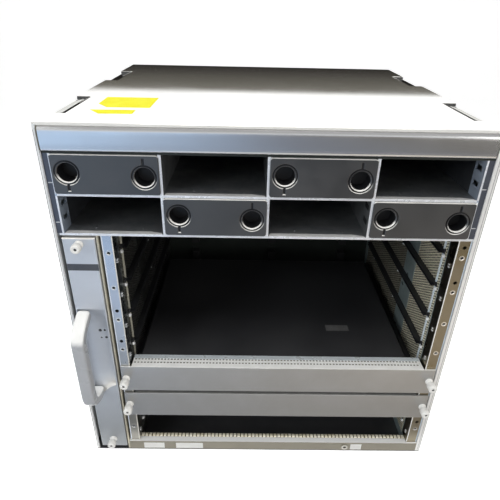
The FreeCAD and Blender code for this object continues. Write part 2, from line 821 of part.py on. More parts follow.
def fan_housing(y, z):
    """Square fan body with a round bore, a motor plate and four struts."""
    x1 = tray_right - sheet
    x0 = x1 - fan_thick
    half = fan_size / 2
    bar = half - strut_inset
    bore = ring(y, z, fan_bore_r, fan_bore_sides)
    body = pierced("X", (y - half, y + half), (z - half, z + half), x0, x1, [bore])
    plate = along("X", ring(y, z, fan_hub_r, fan_hub_sides), x1 - fan_motor_plate, x1)
    bars = [block((x1 - fan_motor_plate, x1), (y - fan_strut / 2, y + fan_strut / 2), (z - bar, z + bar)),
            block((x1 - fan_motor_plate, x1), (y - bar, y + bar), (z - fan_strut / 2, z + fan_strut / 2))]
    return fused([body, plate] + bars)


def fan_housings():
    """The bodies of all fans."""
    return Part.makeCompound([fan_housing(y, z) for y, z in fan_centres()])


def fan_rotor(y, z):
    """Hub with twisted blades, just clear of the motor plate."""
    x1 = tray_right - sheet - fan_motor_plate - fan_spin_gap
    hub_long = fan_thick - fan_motor_plate - rotor_setback
    hub = along("X", ring(0, 0, fan_hub_r, fan_hub_sides), -hub_long / 2, hub_long / 2)
    half_tip = vane_tip / 2 * math.cos(math.radians(vane_angle))
    tip_height = math.sqrt(fan_tip_r ** 2 - half_tip ** 2)
    vane = skinned([vane_section(fan_hub_r - vane_sink, vane_root), vane_section(tip_height, vane_tip)])
    vanes = []
    for i in range(fan_blades):
        turned = vane.copy()
        turned.rotate(V(0, 0, 0), V(1, 0, 0), 360 * i / fan_blades)
        vanes.append(turned)
    rotor = fused([hub] + vanes)
    rotor.translate(V(x1 - hub_long / 2, y, z))
    return rotor


def vane_section(radius, chord):
    """Section of a vane at a radius, as a thin slanted rectangle."""
    turn = math.radians(vane_angle)
    length = (chord / 2 * math.sin(turn), chord / 2 * math.cos(turn))
    thick = (vane_thick / 2 * math.cos(turn), -vane_thick / 2 * math.sin(turn))
    return [V(a * length[0] + b * thick[0], a * length[1] + b * thick[1], radius)
            for a, b in ((-1, -1), (1, -1), (1, 1), (-1, 1))]


# ---------------------------------------------------------------- blanks

def slot_blank_face(slot):
    """Face plate of a slot blank, with folds along its top and bottom edges."""
    z = (slot_floor(slot) + blank_gap, slot_floor(slot) + card_pitch - blank_top_gap)
    x = (left_rail_x + blank_left_inset, right_rail_x + blank_right_past)
    screw_z = slot_floor(slot) + insert_rise
    holes = [ring(screw_x, screw_z, screw_clear_r, neck_sides) for screw_x in (left_insert_x, right_insert_x)]
    face = pierced("Y", x, z, front, front + blank_face, holes)
    inner = (cage_left + blank_fold_inset, cage_right - blank_fold_inset)
    top = block(inner, (front + blank_face, front + blank_flange), (z[1] - blank_face, z[1]))
    bottom = block(inner, (front + blank_face, front + blank_return), (z[0], z[0] + blank_face))
    return fused([face, top, bottom])


def slot_blank_tray(slot):
    """Air baffle behind a slot blank: a hat-shaped tray that rides in the card guides."""
    top = slot_floor(slot) + card_pitch - blank_top_gap - blank_face
    groove = slot_floor(slot) + guide_rise + (guide_tall - guide_groove) / 2
    x0, x1 = cage_left + blank_tray_inset_left, cage_right - blank_tray_inset_right
    wing0, wing1 = cage_left + guide_wall + blank_wing_gap, cage_right - guide_wall - blank_wing_gap
    low = groove + run
    outline = [(wing0, low), (x0 + sheet, low), (x0 + sheet, top - sheet), (x1 - sheet, top - sheet),
               (x1 - sheet, low), (wing1, low), (wing1, low + sheet), (x1, low + sheet), (x1, top),
               (x0, top), (x0, low + sheet), (wing0, low + sheet)]
    return along("Y", outline, front + blank_flange - blank_tray_lap, front + blank_tray_back)


def slot_blank_gasket(slot):
    """Spring strip on top of a slot blank's fold."""
    y = front + blank_flange
    z = slot_floor(slot) + card_pitch - blank_top_gap
    return block((cage_left + blank_fold_inset, cage_right - blank_fold_inset), (y - blank_gasket_deep, y),
                 (z, z + blank_gasket_thick))


def captive_screw(x, z, length, past):
    """Captive thumbscrew: fluted barrel, neck, shank and a driver slot in its end."""
    neck = along("Y", ring(x, z, knob_neck_r, neck_sides), front - knob_neck, front)
    crests = ring(x, z, knob_r, 2 * knob_flutes)
    valleys = ring(x, z, knob_r - flute_depth, 2 * knob_flutes)
    outline = [valleys[i] if i % 2 else crests[i] for i in range(2 * knob_flutes)]
    barrel = along("Y", outline, front - length, front - knob_neck)
    slot = block((x - knob_r, x + knob_r), (front - length, front - length + driver_slot),
                 (z - driver_slot / 2, z + driver_slot / 2))
    shank = along("Y", ring(x, z, shank_r, shank_sides), front, front + past)
    return fused([neck, barrel.cut(slot), shank])


def psu_blank(column, row):
    """Moulded cover of a power bay: a shallow shell, two finger cups and two tongues."""
    x, z = psu_place(column, row)
    x0, x1 = x + run, x + bay_clear - run
    z0, z1 = z + run, z + psu_clear - run
    y0, y1 = front, front + blank_depth
    lapped = (x0 - blank_lap, x1 + blank_lap)
    rim = rounded((lapped[0] + blank_chamfer, lapped[1] - blank_chamfer),
                  (z0 + blank_chamfer, z1 - blank_chamfer), blank_corner_r)
    plate = rounded(lapped, (z0, z1), blank_corner_r)
    base = rounded((x0, x1), (z0, z1), blank_corner_r)
    nose = skinned([[V(u, y0, v) for u, v in rim], [V(u, y0 + blank_chamfer, v) for u, v in plate]])
    shell = fused([nose, along("Y", plate, y0 + blank_chamfer, y0 + blank_plate),
                   along("Y", base, y0 + blank_plate, y1)])
    hollow = block((x0 + blank_wall, x1 - blank_wall), (y0 + blank_wall, y1),
                   (z0 + blank_wall, z1 - blank_wall))
    shell = shell.cut(hollow)
    cz = (z0 + z1) / 2
    cups = [(x0 + cup_edge, cz + cup_stagger, -1), (x1 - cup_edge, cz - cup_stagger, 1)]
    body = fused([shell] + [finger_cup(cup_x, cup_z) for cup_x, cup_z, _ in cups])
    for cup in cups:
        body = body.cut(cup_cut(*cup))
    return fused([body] + [psu_tongue(side, y1, cz) for side in ((x0, 1), (x1, -1))])


def finger_cup(x, z):
    """The square boss behind a cup, before it is bored."""
    half = cup_r + cup_wall
    return block((x - half, x + half), (front + blank_wall / 2, front + cup_deep + cup_wall),
                 (z - half, z + half))


def cup_cut(x, z, side):
    """Bore of a finger cup, with the ring groove round it and the pry slot beside it."""
    bore = along("Y", ring(x, z, cup_r, ring_sides), front, front + cup_deep)
    outer = along("Y", ring(x, z, ring_r, ring_sides), front, front + ring_deep)
    groove = outer.cut(along("Y", ring(x, z, ring_r - ring_lip, ring_sides), front, front + ring_deep))
    reach = sorted((z + side * (ring_r - ring_lip / 2), z + side * (ring_r + pry_slot[1])))
    pry = block((x - pry_slot[0] / 2, x + pry_slot[0] / 2), (front, front + ring_deep), reach)
    return bore.fuse(groove).fuse(pry)


def psu_tongue(side, y, z):
    """Thin spring tongue that runs back along the bay's wall."""
    edge, inward = side
    thick, tall, long = tongue
    return block(sorted((edge, edge + inward * thick)), (y - tongue_lap, y + long),
                 (z - tall / 2, z + tall / 2))


# ---------------------------------------------------------------- the pieces and their files

def pieces():
    """Every sub-part by name."""
    made = {
        "base_pan": base_pan(),
        "left_side_panel": side_panel(left, 1, left_hem),
        "right_side_panel": side_panel(right, -1, right_hem),
        "top_cover": top_cover(),
        "rear_panel": rear_panel(),
        "rear_service_cover": rear_service_cover(),
        "power_inlets": power_inlets(),
        "front_bezel": front_bezel(),
        "bottom_sill": bottom_sill(),
        "emi_gasket": emi_gasket(),
        "ground_jack": ground_jack(),
        "psu_side_left": psu_side(left, 1),
        "psu_side_right": psu_side(right, -1),
        "psu_shelf_low": psu_shelf_low_plate(),
        "psu_shelf_mid": psu_shelf_mid_plate(),
        "psu_ceiling": psu_ceiling(),
        "psu_dividers": psu_dividers(),
        "psu_backplane": psu_backplane(),
        "psu_connectors": psu_connectors(),
        "fan_bay_wall": fan_bay_wall(),
        "left_cage_wall": cage_wall(cage_left - skin, cage_left),
        "right_cage_wall": cage_wall(cage_right, cage_right + skin),
        "left_rail": rail(left_rail_x, 1, 0, left_pin_slots),
        "right_rail": rail(right_rail_x, -1, rail_lip, right_pin_slots),
        "card_guides_left": card_guides(cage_left, 1),
        "card_guides_right": card_guides(cage_right, -1),
        "backplane": backplane(),
        "backplane_connectors": backplane_connectors(),
        "fan_runner_low": fan_runner(skin, runner_low_top, (2 * skin, runner_low_top - skin)),
        "fan_runner_top": fan_runner(runner_top_low, shelf_low_z,
                                     (runner_top_low + skin, shelf_low_z - skin)),
        "fan_tray_panel": fan_tray_panel(),
        "fan_tray_handle": fan_tray_handle(),
        "fan_tray_frame": fan_tray_frame(),
        "fan_tray_board": fan_tray_board(),
        "fan_housings": fan_housings(),
    }
    for number, (y, z) in enumerate(fan_centres(), 1):
        made["fan_rotor_%d" % number] = fan_rotor(y, z)
    for slot in blank_slots:
        made["slot_blank_%d_face" % slot] = slot_blank_face(slot)
        made["slot_blank_%d_tray" % slot] = slot_blank_tray(slot)
        made["slot_blank_%d_gasket" % slot] = slot_blank_gasket(slot)
        z = slot_floor(slot) + insert_rise
        past = blank_face + run + shank_past_rail
        made["slot_%d_screw_left" % slot] = captive_screw(left_insert_x, z, blank_knob, past)
        made["slot_%d_screw_right" % slot] = captive_screw(right_insert_x, z, blank_knob, past)
    past = runner_setback + shank_past_runner
    made["tray_screw_top"] = captive_screw(tray_x, tray_screw_top, tray_knob, past)
    made["tray_screw_low"] = captive_screw(tray_x, tray_screw_low, tray_knob, past)
    for number, (column, row) in enumerate(psu_blanks, 1):
        made["psu_blank_%d" % number] = psu_blank(column, row)
    return made


os.makedirs("parts", exist_ok=True)
for name, shape in pieces().items():
    shape.exportStep("parts/" + name + ".step")
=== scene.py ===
import math

import bmesh
import bpy
from mathutils import Matrix, Vector


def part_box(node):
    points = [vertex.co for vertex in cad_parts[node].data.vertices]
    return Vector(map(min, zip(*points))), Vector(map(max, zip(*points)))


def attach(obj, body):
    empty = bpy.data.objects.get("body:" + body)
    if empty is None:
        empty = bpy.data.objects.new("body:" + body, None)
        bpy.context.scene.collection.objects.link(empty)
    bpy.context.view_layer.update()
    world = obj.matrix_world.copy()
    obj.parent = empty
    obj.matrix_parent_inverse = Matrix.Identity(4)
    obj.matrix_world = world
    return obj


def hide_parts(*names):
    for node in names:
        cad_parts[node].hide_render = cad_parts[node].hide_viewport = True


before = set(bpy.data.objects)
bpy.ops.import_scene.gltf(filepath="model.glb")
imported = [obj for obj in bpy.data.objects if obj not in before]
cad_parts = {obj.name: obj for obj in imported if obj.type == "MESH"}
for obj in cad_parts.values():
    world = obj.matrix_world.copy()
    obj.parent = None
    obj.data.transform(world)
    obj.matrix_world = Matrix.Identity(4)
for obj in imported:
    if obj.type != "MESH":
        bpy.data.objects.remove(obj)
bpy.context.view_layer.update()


# ---- Camera
# A plain camera in front of the casing, above it and a little left of its middle.
# It looks down on the lid and into the card cage.
camera_place = Vector((-0.02386, -0.6205, 0.54378))
camera_yaw = math.radians(0.886)
camera_down = math.radians(27.935)
camera_roll = math.radians(1.286)


def new_thing(name, data):
    """Puts a camera, lamp or mesh into the scene as an object."""
    thing = bpy.data.objects.new(name, data)
    bpy.context.scene.collection.objects.link(thing)
    return thing


camera_data = bpy.data.cameras.new("camera")
camera_data.sensor_width = 36.0
camera_data.lens = 32.63
camera_data.shift_x = -0.0021
camera_data.shift_y = -0.0196
camera_data.clip_start = 0.01
camera = new_thing("camera", camera_data)
aim = Matrix.Rotation(-camera_yaw, 4, "Z") @ Matrix.Rotation(math.pi / 2 - camera_down, 4, "X")
camera.matrix_world = Matrix.Translation(camera_place) @ aim @ Matrix.Rotation(camera_roll, 4, "Z")
bpy.context.scene.camera = camera


# ---- Studio
# A white floor that runs up into a white backdrop, with soft lamps overhead, front left
# and front right. Glossy metal alone sees the cards: one behind the casing, dark below
# and white above, and two on the floor in front, cool at the left and warm at the right.
bpy.context.scene.view_settings.view_transform = "Standard"


def lamp(name, place, aim, size, watts, tint):
    """A square soft lamp at a place, turned to the point it lights."""
    data = bpy.data.lights.new(name, "AREA")
    data.size = size
    data.energy = watts
    data.color = tint
    thing = new_thing(name, data)
    thing.location = place
    thing.rotation_euler = (Vector(aim) - Vector(place)).to_track_quat("-Z", "Y").to_euler()


lamp("lamp_over", (0.1, -0.5, 1.9), (0, 0, 0.3), 1.2, 18, (1.0, 0.99, 0.97))
lamp("lamp_left", (-1.6, -1.5, 1.2), (0, 0, 0.2), 0.9, 14, (0.93, 0.97, 1.0))
lamp("lamp_right", (1.5, -1.7, 0.7), (0, 0, 0.2), 0.9, 7, (1.0, 0.96, 0.9))


def put(tree, kind, sockets=None, **settings):
    """A node with its settings, its named inputs filled with numbers or joined to outputs."""
    made = tree.nodes.new(kind)
    for name, value in settings.items():
        setattr(made, name, value)
    for name, value in (sockets or {}).items():
        if isinstance(value, bpy.types.NodeSocket):
            tree.links.new(value, made.inputs[name])
        else:
            made.inputs[name].default_value = value
    return made


def worked_out(tree, operation, first, second):
    """One value worked out from two, such as their product or the greater of them."""
    return put(tree, "ShaderNodeMath", {0: first, 1: second}, operation=operation).outputs[0]


def mapped(tree, value, low, high, first=0.0, last=1.0):
    """A value that ran from low to high, made to run from first to last and held there."""
    return put(tree, "ShaderNodeMapRange", {"Value": value, "From Min": low, "From Max": high,
                                            "To Min": first, "To Max": last}).outputs["Result"]


def seen_direct(tree):
    """One for rays from the camera, a mirror or through glass, else nothing."""
    path = put(tree, "ShaderNodeLightPath").outputs
    either = worked_out(tree, "MAXIMUM", path["Is Camera Ray"], path["Is Glossy Ray"])
    return worked_out(tree, "MAXIMUM", either, path["Is Transmission Ray"])


world = bpy.data.worlds.new("studio")
bpy.context.scene.world = world
world.use_nodes = True
sky = world.node_tree
sky.nodes.clear()
light_on_object, light_seen = 0.35, 1.0
plain = put(sky, "ShaderNodeBackground", {"Strength": light_on_object})
white = put(sky, "ShaderNodeBackground", {"Strength": light_seen})
both = put(sky, "ShaderNodeMixShader", {"Fac": seen_direct(sky), 1: plain.outputs[0], 2: white.outputs[0]})
put(sky, "ShaderNodeOutputWorld", {"Surface": both.outputs[0]})


def plain_material(name, colour, roughness, metallic=0.0):
    """A Principled material to start from: returns it with its tree and shader."""
    material = bpy.data.materials.new(name)
    material.use_nodes = True
    tree = material.node_tree
    shader = tree.nodes["Principled BSDF"]
    shader.inputs["Base Color"].default_value = (*colour, 1)
    shader.inputs["Roughness"].default_value = roughness
    shader.inputs["Metallic"].default_value = metallic
    return material, tree, shader


floor_half, floor_near, floor_far = 5.0, -4.0, 2.4
sweep_r, sweep_turns, backdrop_top = 0.8, 12, 4.0
floor_glow = 0.62
sweep = [(floor_near, 0.0), (floor_far, 0.0)]
for step in range(1, sweep_turns + 1):
    bend = math.pi / 2 * step / sweep_turns
    sweep.append((floor_far + sweep_r * math.sin(bend), sweep_r - sweep_r * math.cos(bend)))
sweep.append((floor_far + sweep_r, backdrop_top))
floor_mesh = bpy.data.meshes.new("studio_floor")
floor_mesh.from_pydata([(x, y, z) for y, z in sweep for x in (-floor_half, floor_half)], [],
                       [(2 * i, 2 * i + 1, 2 * i + 3, 2 * i + 2) for i in range(len(sweep) - 1)])
floor_mesh.shade_smooth()
floor = new_thing("studio_floor", floor_mesh)
floor_paint, floor_tree, floor_shader = plain_material("studio_floor", (0.93, 0.93, 0.93), 0.9)
floor_shader.inputs["Emission Color"].default_value = (1, 1, 1, 1)
floor_tree.links.new(worked_out(floor_tree, "MULTIPLY", seen_direct(floor_tree), floor_glow),
                     floor_shader.inputs["Emission Strength"])
floor_mesh.materials.append(floor_paint)


def card(name, corners, axis, stops, dim=None):
    """A sheet that only glossy metal sees. Its glow runs along an axis from stop to stop, and can
    fade with Y between two places and strengths."""
    mesh = bpy.data.meshes.new(name)
    mesh.from_pydata(corners, [], [(0, 1, 2, 3)])
    sheet = new_thing(name, mesh)
    paint = bpy.data.materials.new(name)
    paint.use_nodes = True
    tree = paint.node_tree
    tree.nodes.clear()
    spot = put(tree, "ShaderNodeTexCoord").outputs["Object"]
    parts = put(tree, "ShaderNodeSeparateXYZ", {"Vector": spot}).outputs
    first, last = stops[0][0], stops[-1][0]
    ramp = put(tree, "ShaderNodeValToRGB", {"Fac": mapped(tree, parts[axis], first, last)})
    while len(ramp.color_ramp.elements) < len(stops):
        ramp.color_ramp.elements.new(0.5)
    for element, (place, colour) in zip(ramp.color_ramp.elements, stops):
        element.position = (place - first) / (last - first)
        element.color = (*colour, 1)
    glow = put(tree, "ShaderNodeEmission", {"Color": ramp.outputs["Color"]})
    if dim:
        (near, near_glow), (far, far_glow) = dim
        tree.links.new(mapped(tree, parts["Y"], near, far, near_glow, far_glow), glow.inputs["Strength"])
    clear = put(tree, "ShaderNodeBsdfTransparent")
    glossy = put(tree, "ShaderNodeLightPath").outputs["Is Glossy Ray"]
    mixed = put(tree, "ShaderNodeMixShader", {"Fac": glossy, 1: clear.outputs[0], 2: glow.outputs[0]})
    put(tree, "ShaderNodeOutputMaterial", {"Surface": mixed.outputs[0]})
    mesh.materials.append(paint)


card_lift, far_end, cards_meet, near_end = 0.002, -12, -0.8, -0.23
card("back_card", [(-3, 2.0, 0), (3, 2.0, 0), (3, 2.0, 2.0), (-3, 2.0, 2.0)], "Z",
     ((0.66, (0.012, 0.010, 0.009)), (0.79, (0.18, 0.17, 0.145)), (0.80, (1.3, 1.3, 1.3))))
card("far_card", [(-6, far_end, card_lift), (6, far_end, card_lift), (6, cards_meet, card_lift),
                  (-6, cards_meet, card_lift)], "X",
     ((-0.85, (0.58, 0.78, 1.05)), (0.15, (0.165, 0.185, 0.23)), (0.9, (0.145, 0.13, 0.11))))
card("near_card", [(-3, cards_meet, card_lift), (3, cards_meet, card_lift), (3, near_end, card_lift),
                   (-3, near_end, card_lift)], "X",
     ((-0.3, (0.58, 0.68, 0.84)), (-0.12, (0.60, 0.62, 0.65)), (0.26, (0.74, 0.66, 0.56))),
     dim=((-0.40, 1.15), (-0.25, 0.42)))


# ---- Casing shell
# Folded and painted sheet steel: pan, sides, lid and back. The lid is glossier than the
# rest, and all of it carries faint hand marks and a fine orange peel.
def effect_group(name, numbers, output):
    """An empty effect: a node group with its number inputs, its output and the sockets of both ends."""
    group = bpy.data.node_groups.new(name, "ShaderNodeTree")
    for socket, value in numbers.items():
        made = group.interface.new_socket(socket, in_out="INPUT", socket_type="NodeSocketFloat")
        made.default_value = value
    group.interface.new_socket(output, in_out="OUTPUT", socket_type="NodeSocketFloat")
    return group, group.nodes.new("NodeGroupInput").outputs, group.nodes.new("NodeGroupOutput").inputs


smudge, smudge_in, smudge_out = effect_group("smudge", {"Scale": 12.0, "Low": 0.35, "High": 0.65}, "Mask")
spot = put(smudge, "ShaderNodeTexCoord").outputs["Object"]
cloud = put(smudge, "ShaderNodeTexNoise", {"Vector": spot, "Scale": smudge_in["Scale"], "Detail": 6.0,
                                           "Roughness": 0.62}).outputs["Fac"]
smudge.links.new(mapped(smudge, cloud, smudge_in["Low"], smudge_in["High"]), smudge_out["Mask"])

grain, grain_in, grain_out = effect_group("grain", {"Scale": 900.0, "Along X": 1.0, "Along Y": 1.0,
                                                    "Along Z": 1.0}, "Height")
spot = put(grain, "ShaderNodeTexCoord").outputs["Object"]
squeeze = put(grain, "ShaderNodeCombineXYZ", {axis: grain_in["Along " + axis] for axis in "XYZ"}).outputs[0]
stretched = put(grain, "ShaderNodeVectorMath", {0: spot, 1: squeeze}, operation="MULTIPLY").outputs[0]
fine = put(grain, "ShaderNodeTexNoise", {"Vector": stretched, "Scale": grain_in["Scale"], "Detail": 3.0})
grain.links.new(fine.outputs["Fac"], grain_out["Height"])

# Paler edges from a rounded-normal mask: partly wear, partly a painted edge highlight.
edge_wear_and_glint, edge_in, edge_out = effect_group("edge_wear_and_glint", {"Radius": 0.0006, "Strength": 1.0}, "Mask")
rounded = put(edge_wear_and_glint, "ShaderNodeBevel", {"Radius": edge_in["Radius"]}, samples=4).outputs["Normal"]
flat = put(edge_wear_and_glint, "ShaderNodeNewGeometry").outputs["Normal"]
lean = put(edge_wear_and_glint, "ShaderNodeVectorMath", {0: rounded, 1: flat}, operation="DOT_PRODUCT")
edge_starts, edge_full = 0.995, 0.80
turned_away = mapped(edge_wear_and_glint, lean.outputs["Value"], edge_starts, edge_full)
edge_wear_and_glint.links.new(worked_out(edge_wear_and_glint, "MULTIPLY", turned_away, edge_in["Strength"]), edge_out["Mask"])

# A mask of faces that look up. finish() paints top lighting through it, the light or shade such faces catch
# from above, and the lid takes its mirror share from it.
upward, upward_in, upward_out = effect_group("upward", {"Low": 0.10, "High": 0.40}, "Mask")
face_normal = put(upward, "ShaderNodeNewGeometry").outputs["Normal"]
lift = put(upward, "ShaderNodeSeparateXYZ", {"Vector": face_normal}).outputs["Z"]
upward.links.new(mapped(upward, lift, upward_in["Low"], upward_in["High"]), upward_out["Mask"])


def blended(tree, share, under, over, **settings):
    """Lays a colour over another by a share. Each is three numbers or an output."""
    under, over = (colour if isinstance(colour, bpy.types.NodeSocket) else (*colour, 1)
                   for colour in (under, over))
    mix = put(tree, "ShaderNodeMix", {"Factor": share, 6: under, 7: over}, data_type="RGBA", **settings)
    return mix.outputs[2]


def finish(name, colour, marked, roughness, metallic=0.0, scale=12.0, gloss_change=0.06, grain_scale=900.0,
           drawn=(1, 1, 1), relief=0.00002, pale_edge=None, pale_edge_share=1.0, top_lighting=None):
    """A surface of two close colours in soft patches, with a fine grain. It may have paler edges, which
    stand for wear and for a painted edge highlight, and painted top lighting on faces that look up."""
    material, tree, shader = plain_material(name, colour, roughness, metallic)
    marks = put(tree, "ShaderNodeGroup", {"Scale": scale}, node_tree=smudge).outputs["Mask"]
    tone = blended(tree, marks, colour, marked)
    if pale_edge:
        edges = put(tree, "ShaderNodeGroup", {"Strength": pale_edge_share}, node_tree=edge_wear_and_glint).outputs["Mask"]
        tone = blended(tree, edges, tone, pale_edge)
    if top_lighting:
        tone = blended(tree, put(tree, "ShaderNodeGroup", node_tree=upward).outputs["Mask"], tone, top_lighting)
    tree.links.new(tone, shader.inputs["Base Color"])
    tree.links.new(mapped(tree, marks, 0.0, 1.0, roughness - gloss_change, roughness + gloss_change),
                   shader.inputs["Roughness"])
    along = {"Along " + axis: share for axis, share in zip("XYZ", drawn)}
    texture = put(tree, "ShaderNodeGroup", {"Scale": grain_scale, **along}, node_tree=grain)
    bump = put(tree, "ShaderNodeBump", {"Height": texture.outputs["Height"], "Distance": relief})
    tree.links.new(bump.outputs["Normal"], shader.inputs["Normal"])
    return material


def dress(paint, *names, edge=0.0):
    """Gives CAD pieces a finish and, with a size, a small rounding on their sharp edges."""
    for name in names:
        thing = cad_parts[name]
        for place in thing.material_slots:
            place.link = "OBJECT"
            place.material = paint
        if edge:
            thing.modifiers.new("joined", "WELD").merge_threshold = 0.00002
            flats = thing.modifiers.new("flats", "DECIMATE")
            flats.decimate_type = "DISSOLVE"
            flats.angle_limit = math.radians(1)
            rounding = thing.modifiers.new("rounding", "BEVEL")
            rounding.width = edge
            rounding.segments = 2
            rounding.limit_method = "ANGLE"
            rounding.angle_limit = math.radians(40)
            rounding.harden_normals = True


casing_paint = finish("casing_paint", (0.88, 0.88, 0.86), (0.865, 0.865, 0.845), 0.34, 0.2, scale=9.0,
                      gloss_change=0.02, relief=0.00001)
lid_paint = finish("lid_paint", (0.86, 0.85, 0.82), (0.82, 0.81, 0.78), 0.045, scale=7.0, gloss_change=0.012,
                   relief=0.000004)
lid_mirror = 0.97
lid_tree = lid_paint.node_tree
lid_top = put(lid_tree, "ShaderNodeGroup", node_tree=upward).outputs["Mask"]
lid_tree.links.new(worked_out(lid_tree, "MULTIPLY", lid_top, lid_mirror),
                   lid_tree.nodes["Principled BSDF"].inputs["Metallic"])
pan_steel = finish("pan_steel", (0.10, 0.10, 0.105), (0.07, 0.07, 0.075), 0.40, 0.5, scale=9.0,
                   gloss_change=0.08)
dress(casing_paint, "left_side_panel", "right_side_panel", "rear_panel", "rear_service_cover", edge=0.0004)
dress(pan_steel, "base_pan", edge=0.0004)
dress(lid_paint, "top_cover", edge=0.0005)


# ---- Labels on the lid
# Two bare yellow paper labels near the front left of the lid, each with a torn or cut
# corner. They're stuck on, so they stand off the sheet by their own thickness.
def plate(outline, low, high, axis, edge=0.0, holes=()):
    """A flat sheet between two places along an axis, with holes and rounded edges, as a mesh."""
    curve = bpy.data.curves.new("plate", "CURVE")
    curve.dimensions = "2D"
    curve.fill_mode = "BOTH"
    curve.extrude = (high - low) / 2 - edge
    curve.bevel_depth = edge
    curve.bevel_resolution = 1
    curve.offset = -edge
    for ring in [outline] + list(holes):
        spline = curve.splines.new("POLY")
        spline.points.add(len(ring) - 1)
        for point, (u, v) in zip(spline.points, ring):
            point.co = (u, v, 0, 1)
        spline.use_cyclic_u = True
    drawn = bpy.data.objects.new("plate", curve)
    mesh = bpy.data.meshes.new_from_object(drawn)
    bpy.data.objects.remove(drawn)
    bpy.data.curves.remove(curve)
    middle = (low + high) / 2
    if axis == "X":
        mesh.transform(Matrix(((0, 0, 1, middle), (1, 0, 0, 0), (0, 1, 0, 0), (0, 0, 0, 1))))
    elif axis == "Y":
        mesh.transform(Matrix(((1, 0, 0, 0), (0, 0, -1, middle), (0, 1, 0, 0), (0, 0, 0, 1))))
    else:
        mesh.transform(Matrix.Translation((0, 0, middle)))
    return mesh


def add_plate(build, *shape, **settings):
    """Puts a plate into a mesh that is being built."""
    mesh = plate(*shape, **settings)
    build.from_mesh(mesh)
    bpy.data.meshes.remove(mesh)


def rectangle(u0, u1, v0, v1):
    """Corners of a rectangle."""
    return [(u0, v0), (u1, v0), (u1, v1), (u0, v1)]


def new_piece(name, build, paint, body, sharp=35):
    """Turns a built mesh into a piece: smooth but for sharp edges, finished and on its body."""
    bmesh.ops.remove_doubles(build, verts=build.verts, dist=0.000002)
    bmesh.ops.recalc_face_normals(build, faces=build.faces)
    mesh = bpy.data.meshes.new(name)
    build.to_mesh(mesh)
    build.free()
    mesh.materials.append(paint)
    mesh.shade_smooth()
    mesh.set_sharp_from_angle(angle=math.radians(sharp))
    piece = new_thing(name, mesh)
    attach(piece, body)
    return piece


def plate_piece(name, paint, body, slot, *shape):
    """Makes a piece that is one plate, such as a label or a strip."""
    build = bmesh.new()
    add_plate(build, *shape)
    new_piece(name, build, paint, body)


lid_low, lid_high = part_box("top_cover")
front = lid_low.y
skin = 0.0001
label_thick = 0.00015
label_outlines = {
    "wide": [(-0.170, 0.069), (-0.125, 0.069), (-0.125, 0.123), (-0.1835, 0.123), (-0.183, 0.086)],
    "narrow": [(-0.170, 0.039), (-0.137, 0.040), (-0.137, 0.057), (-0.183, 0.056)]}

label_yellow = finish("label_yellow", (0.98, 0.95, 0.0), (0.95, 0.88, 0.005), 0.6, scale=60, relief=0.00001)
for name, outline in label_outlines.items():
    plate_piece("lid_label_" + name, label_yellow, "chassis", "casing_sheet",
                [(x, front + y) for x, y in outline], lid_high.z - skin, lid_high.z + label_thick, "Z")


# ---- Scoops and hems
# Pale floors in the two front scoops of the lid, sheets of painted shade at the ends where all four
# are cut open, and the fine dark lines where the side panels' front hems fold over.
scoop_starts, scoop_long, scoop_wide = (0.038, 0.243), 0.0880, 0.0177
scoop_dip, scoop_drop, scoop_ramp = 0.0003, 0.0040, 0.0090
bed_short, bed_lifts = 0.010, (0.00005, 0.00020)
cut_top, cut_foot, cut_back, cut_front = 0.0004, 0.0002, 0.0001, 0.0004
hem_steps, hem_wide, hem_proud, hem_deep = (0.0003, 0.0026), 0.00035, 0.0001, 0.0003
hem_foot, hem_head = 0.004, 0.007
box_faces = ((0, 1, 3, 2), (4, 5, 7, 6), (0, 1, 5, 4), (2, 3, 7, 6), (0, 2, 6, 4), (1, 3, 7, 5))
scoop_floor = finish("scoop_floor", (0.78, 0.78, 0.75), (0.70, 0.70, 0.67), 0.5, scale=40)
# The scoop ends are closed with sheets of painted shade.
scoop_end_shade = finish("scoop_end_shade", (0.03, 0.03, 0.03), (0.05, 0.05, 0.05), 0.5, scale=60)
hem_line = finish("hem_line", (0.20, 0.19, 0.21), (0.28, 0.27, 0.29), 0.5, scale=60)
floors, cuts, lines = bmesh.new(), bmesh.new(), bmesh.new()
for edge_x, inward in ((lid_low.x, 1), (lid_high.x, -1)):
    inner_x = edge_x + inward * scoop_wide
    bed = (front + scoop_starts[0] + scoop_ramp, front + scoop_starts[0] + scoop_long - bed_short)
    corners = [floors.verts.new((x, y, lid_high.z - drop + lift)) for lift in bed_lifts for y in bed
               for x, drop in ((inner_x, scoop_dip), (edge_x, scoop_drop))]
    for face in box_faces:
        floors.faces.new([corners[i] for i in face])
    for start in scoop_starts:
        end = front + start + scoop_long
        add_plate(cuts, [(inner_x, lid_high.z - cut_top), (edge_x, lid_high.z - cut_top),
                         (edge_x, lid_high.z - scoop_drop + cut_foot)], end - cut_front, end - cut_back, "Y")
    for step in hem_steps:
        line = sorted((edge_x + inward * step, edge_x + inward * (step + hem_wide)))
        add_plate(lines, rectangle(*line, hem_foot, lid_high.z - hem_head), front - hem_proud,
                  front + hem_deep, "Y")
new_piece("lid_scoop_end_shade", cuts, scoop_end_shade, "chassis")
new_piece("lid_scoop_floors", floors, scoop_floor, "chassis")
new_piece("hem_lines", lines, hem_line, "chassis")


# ---- Bezel
# One extruded strip across the top of the front, in satin silver. Its face is slightly
# crowned, its upper edge slopes back and its lower edge rolls under.
bezel_low, bezel_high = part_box("front_bezel")
bezel_crown, bezel_turns = 0.0004, 14
bezel_ledge, bezel_ledge_back = 0.0023, 0.0012
bezel_wall, bezel_face_wall = 0.0018, 0.0028
bezel_roll, bezel_roll_back, roll_turns = 0.0026, 0.0018, 6
nose_back, nose_drop = 0.0004, 0.0003
bezel_end, end_sunk = 0.0017, 0.0004

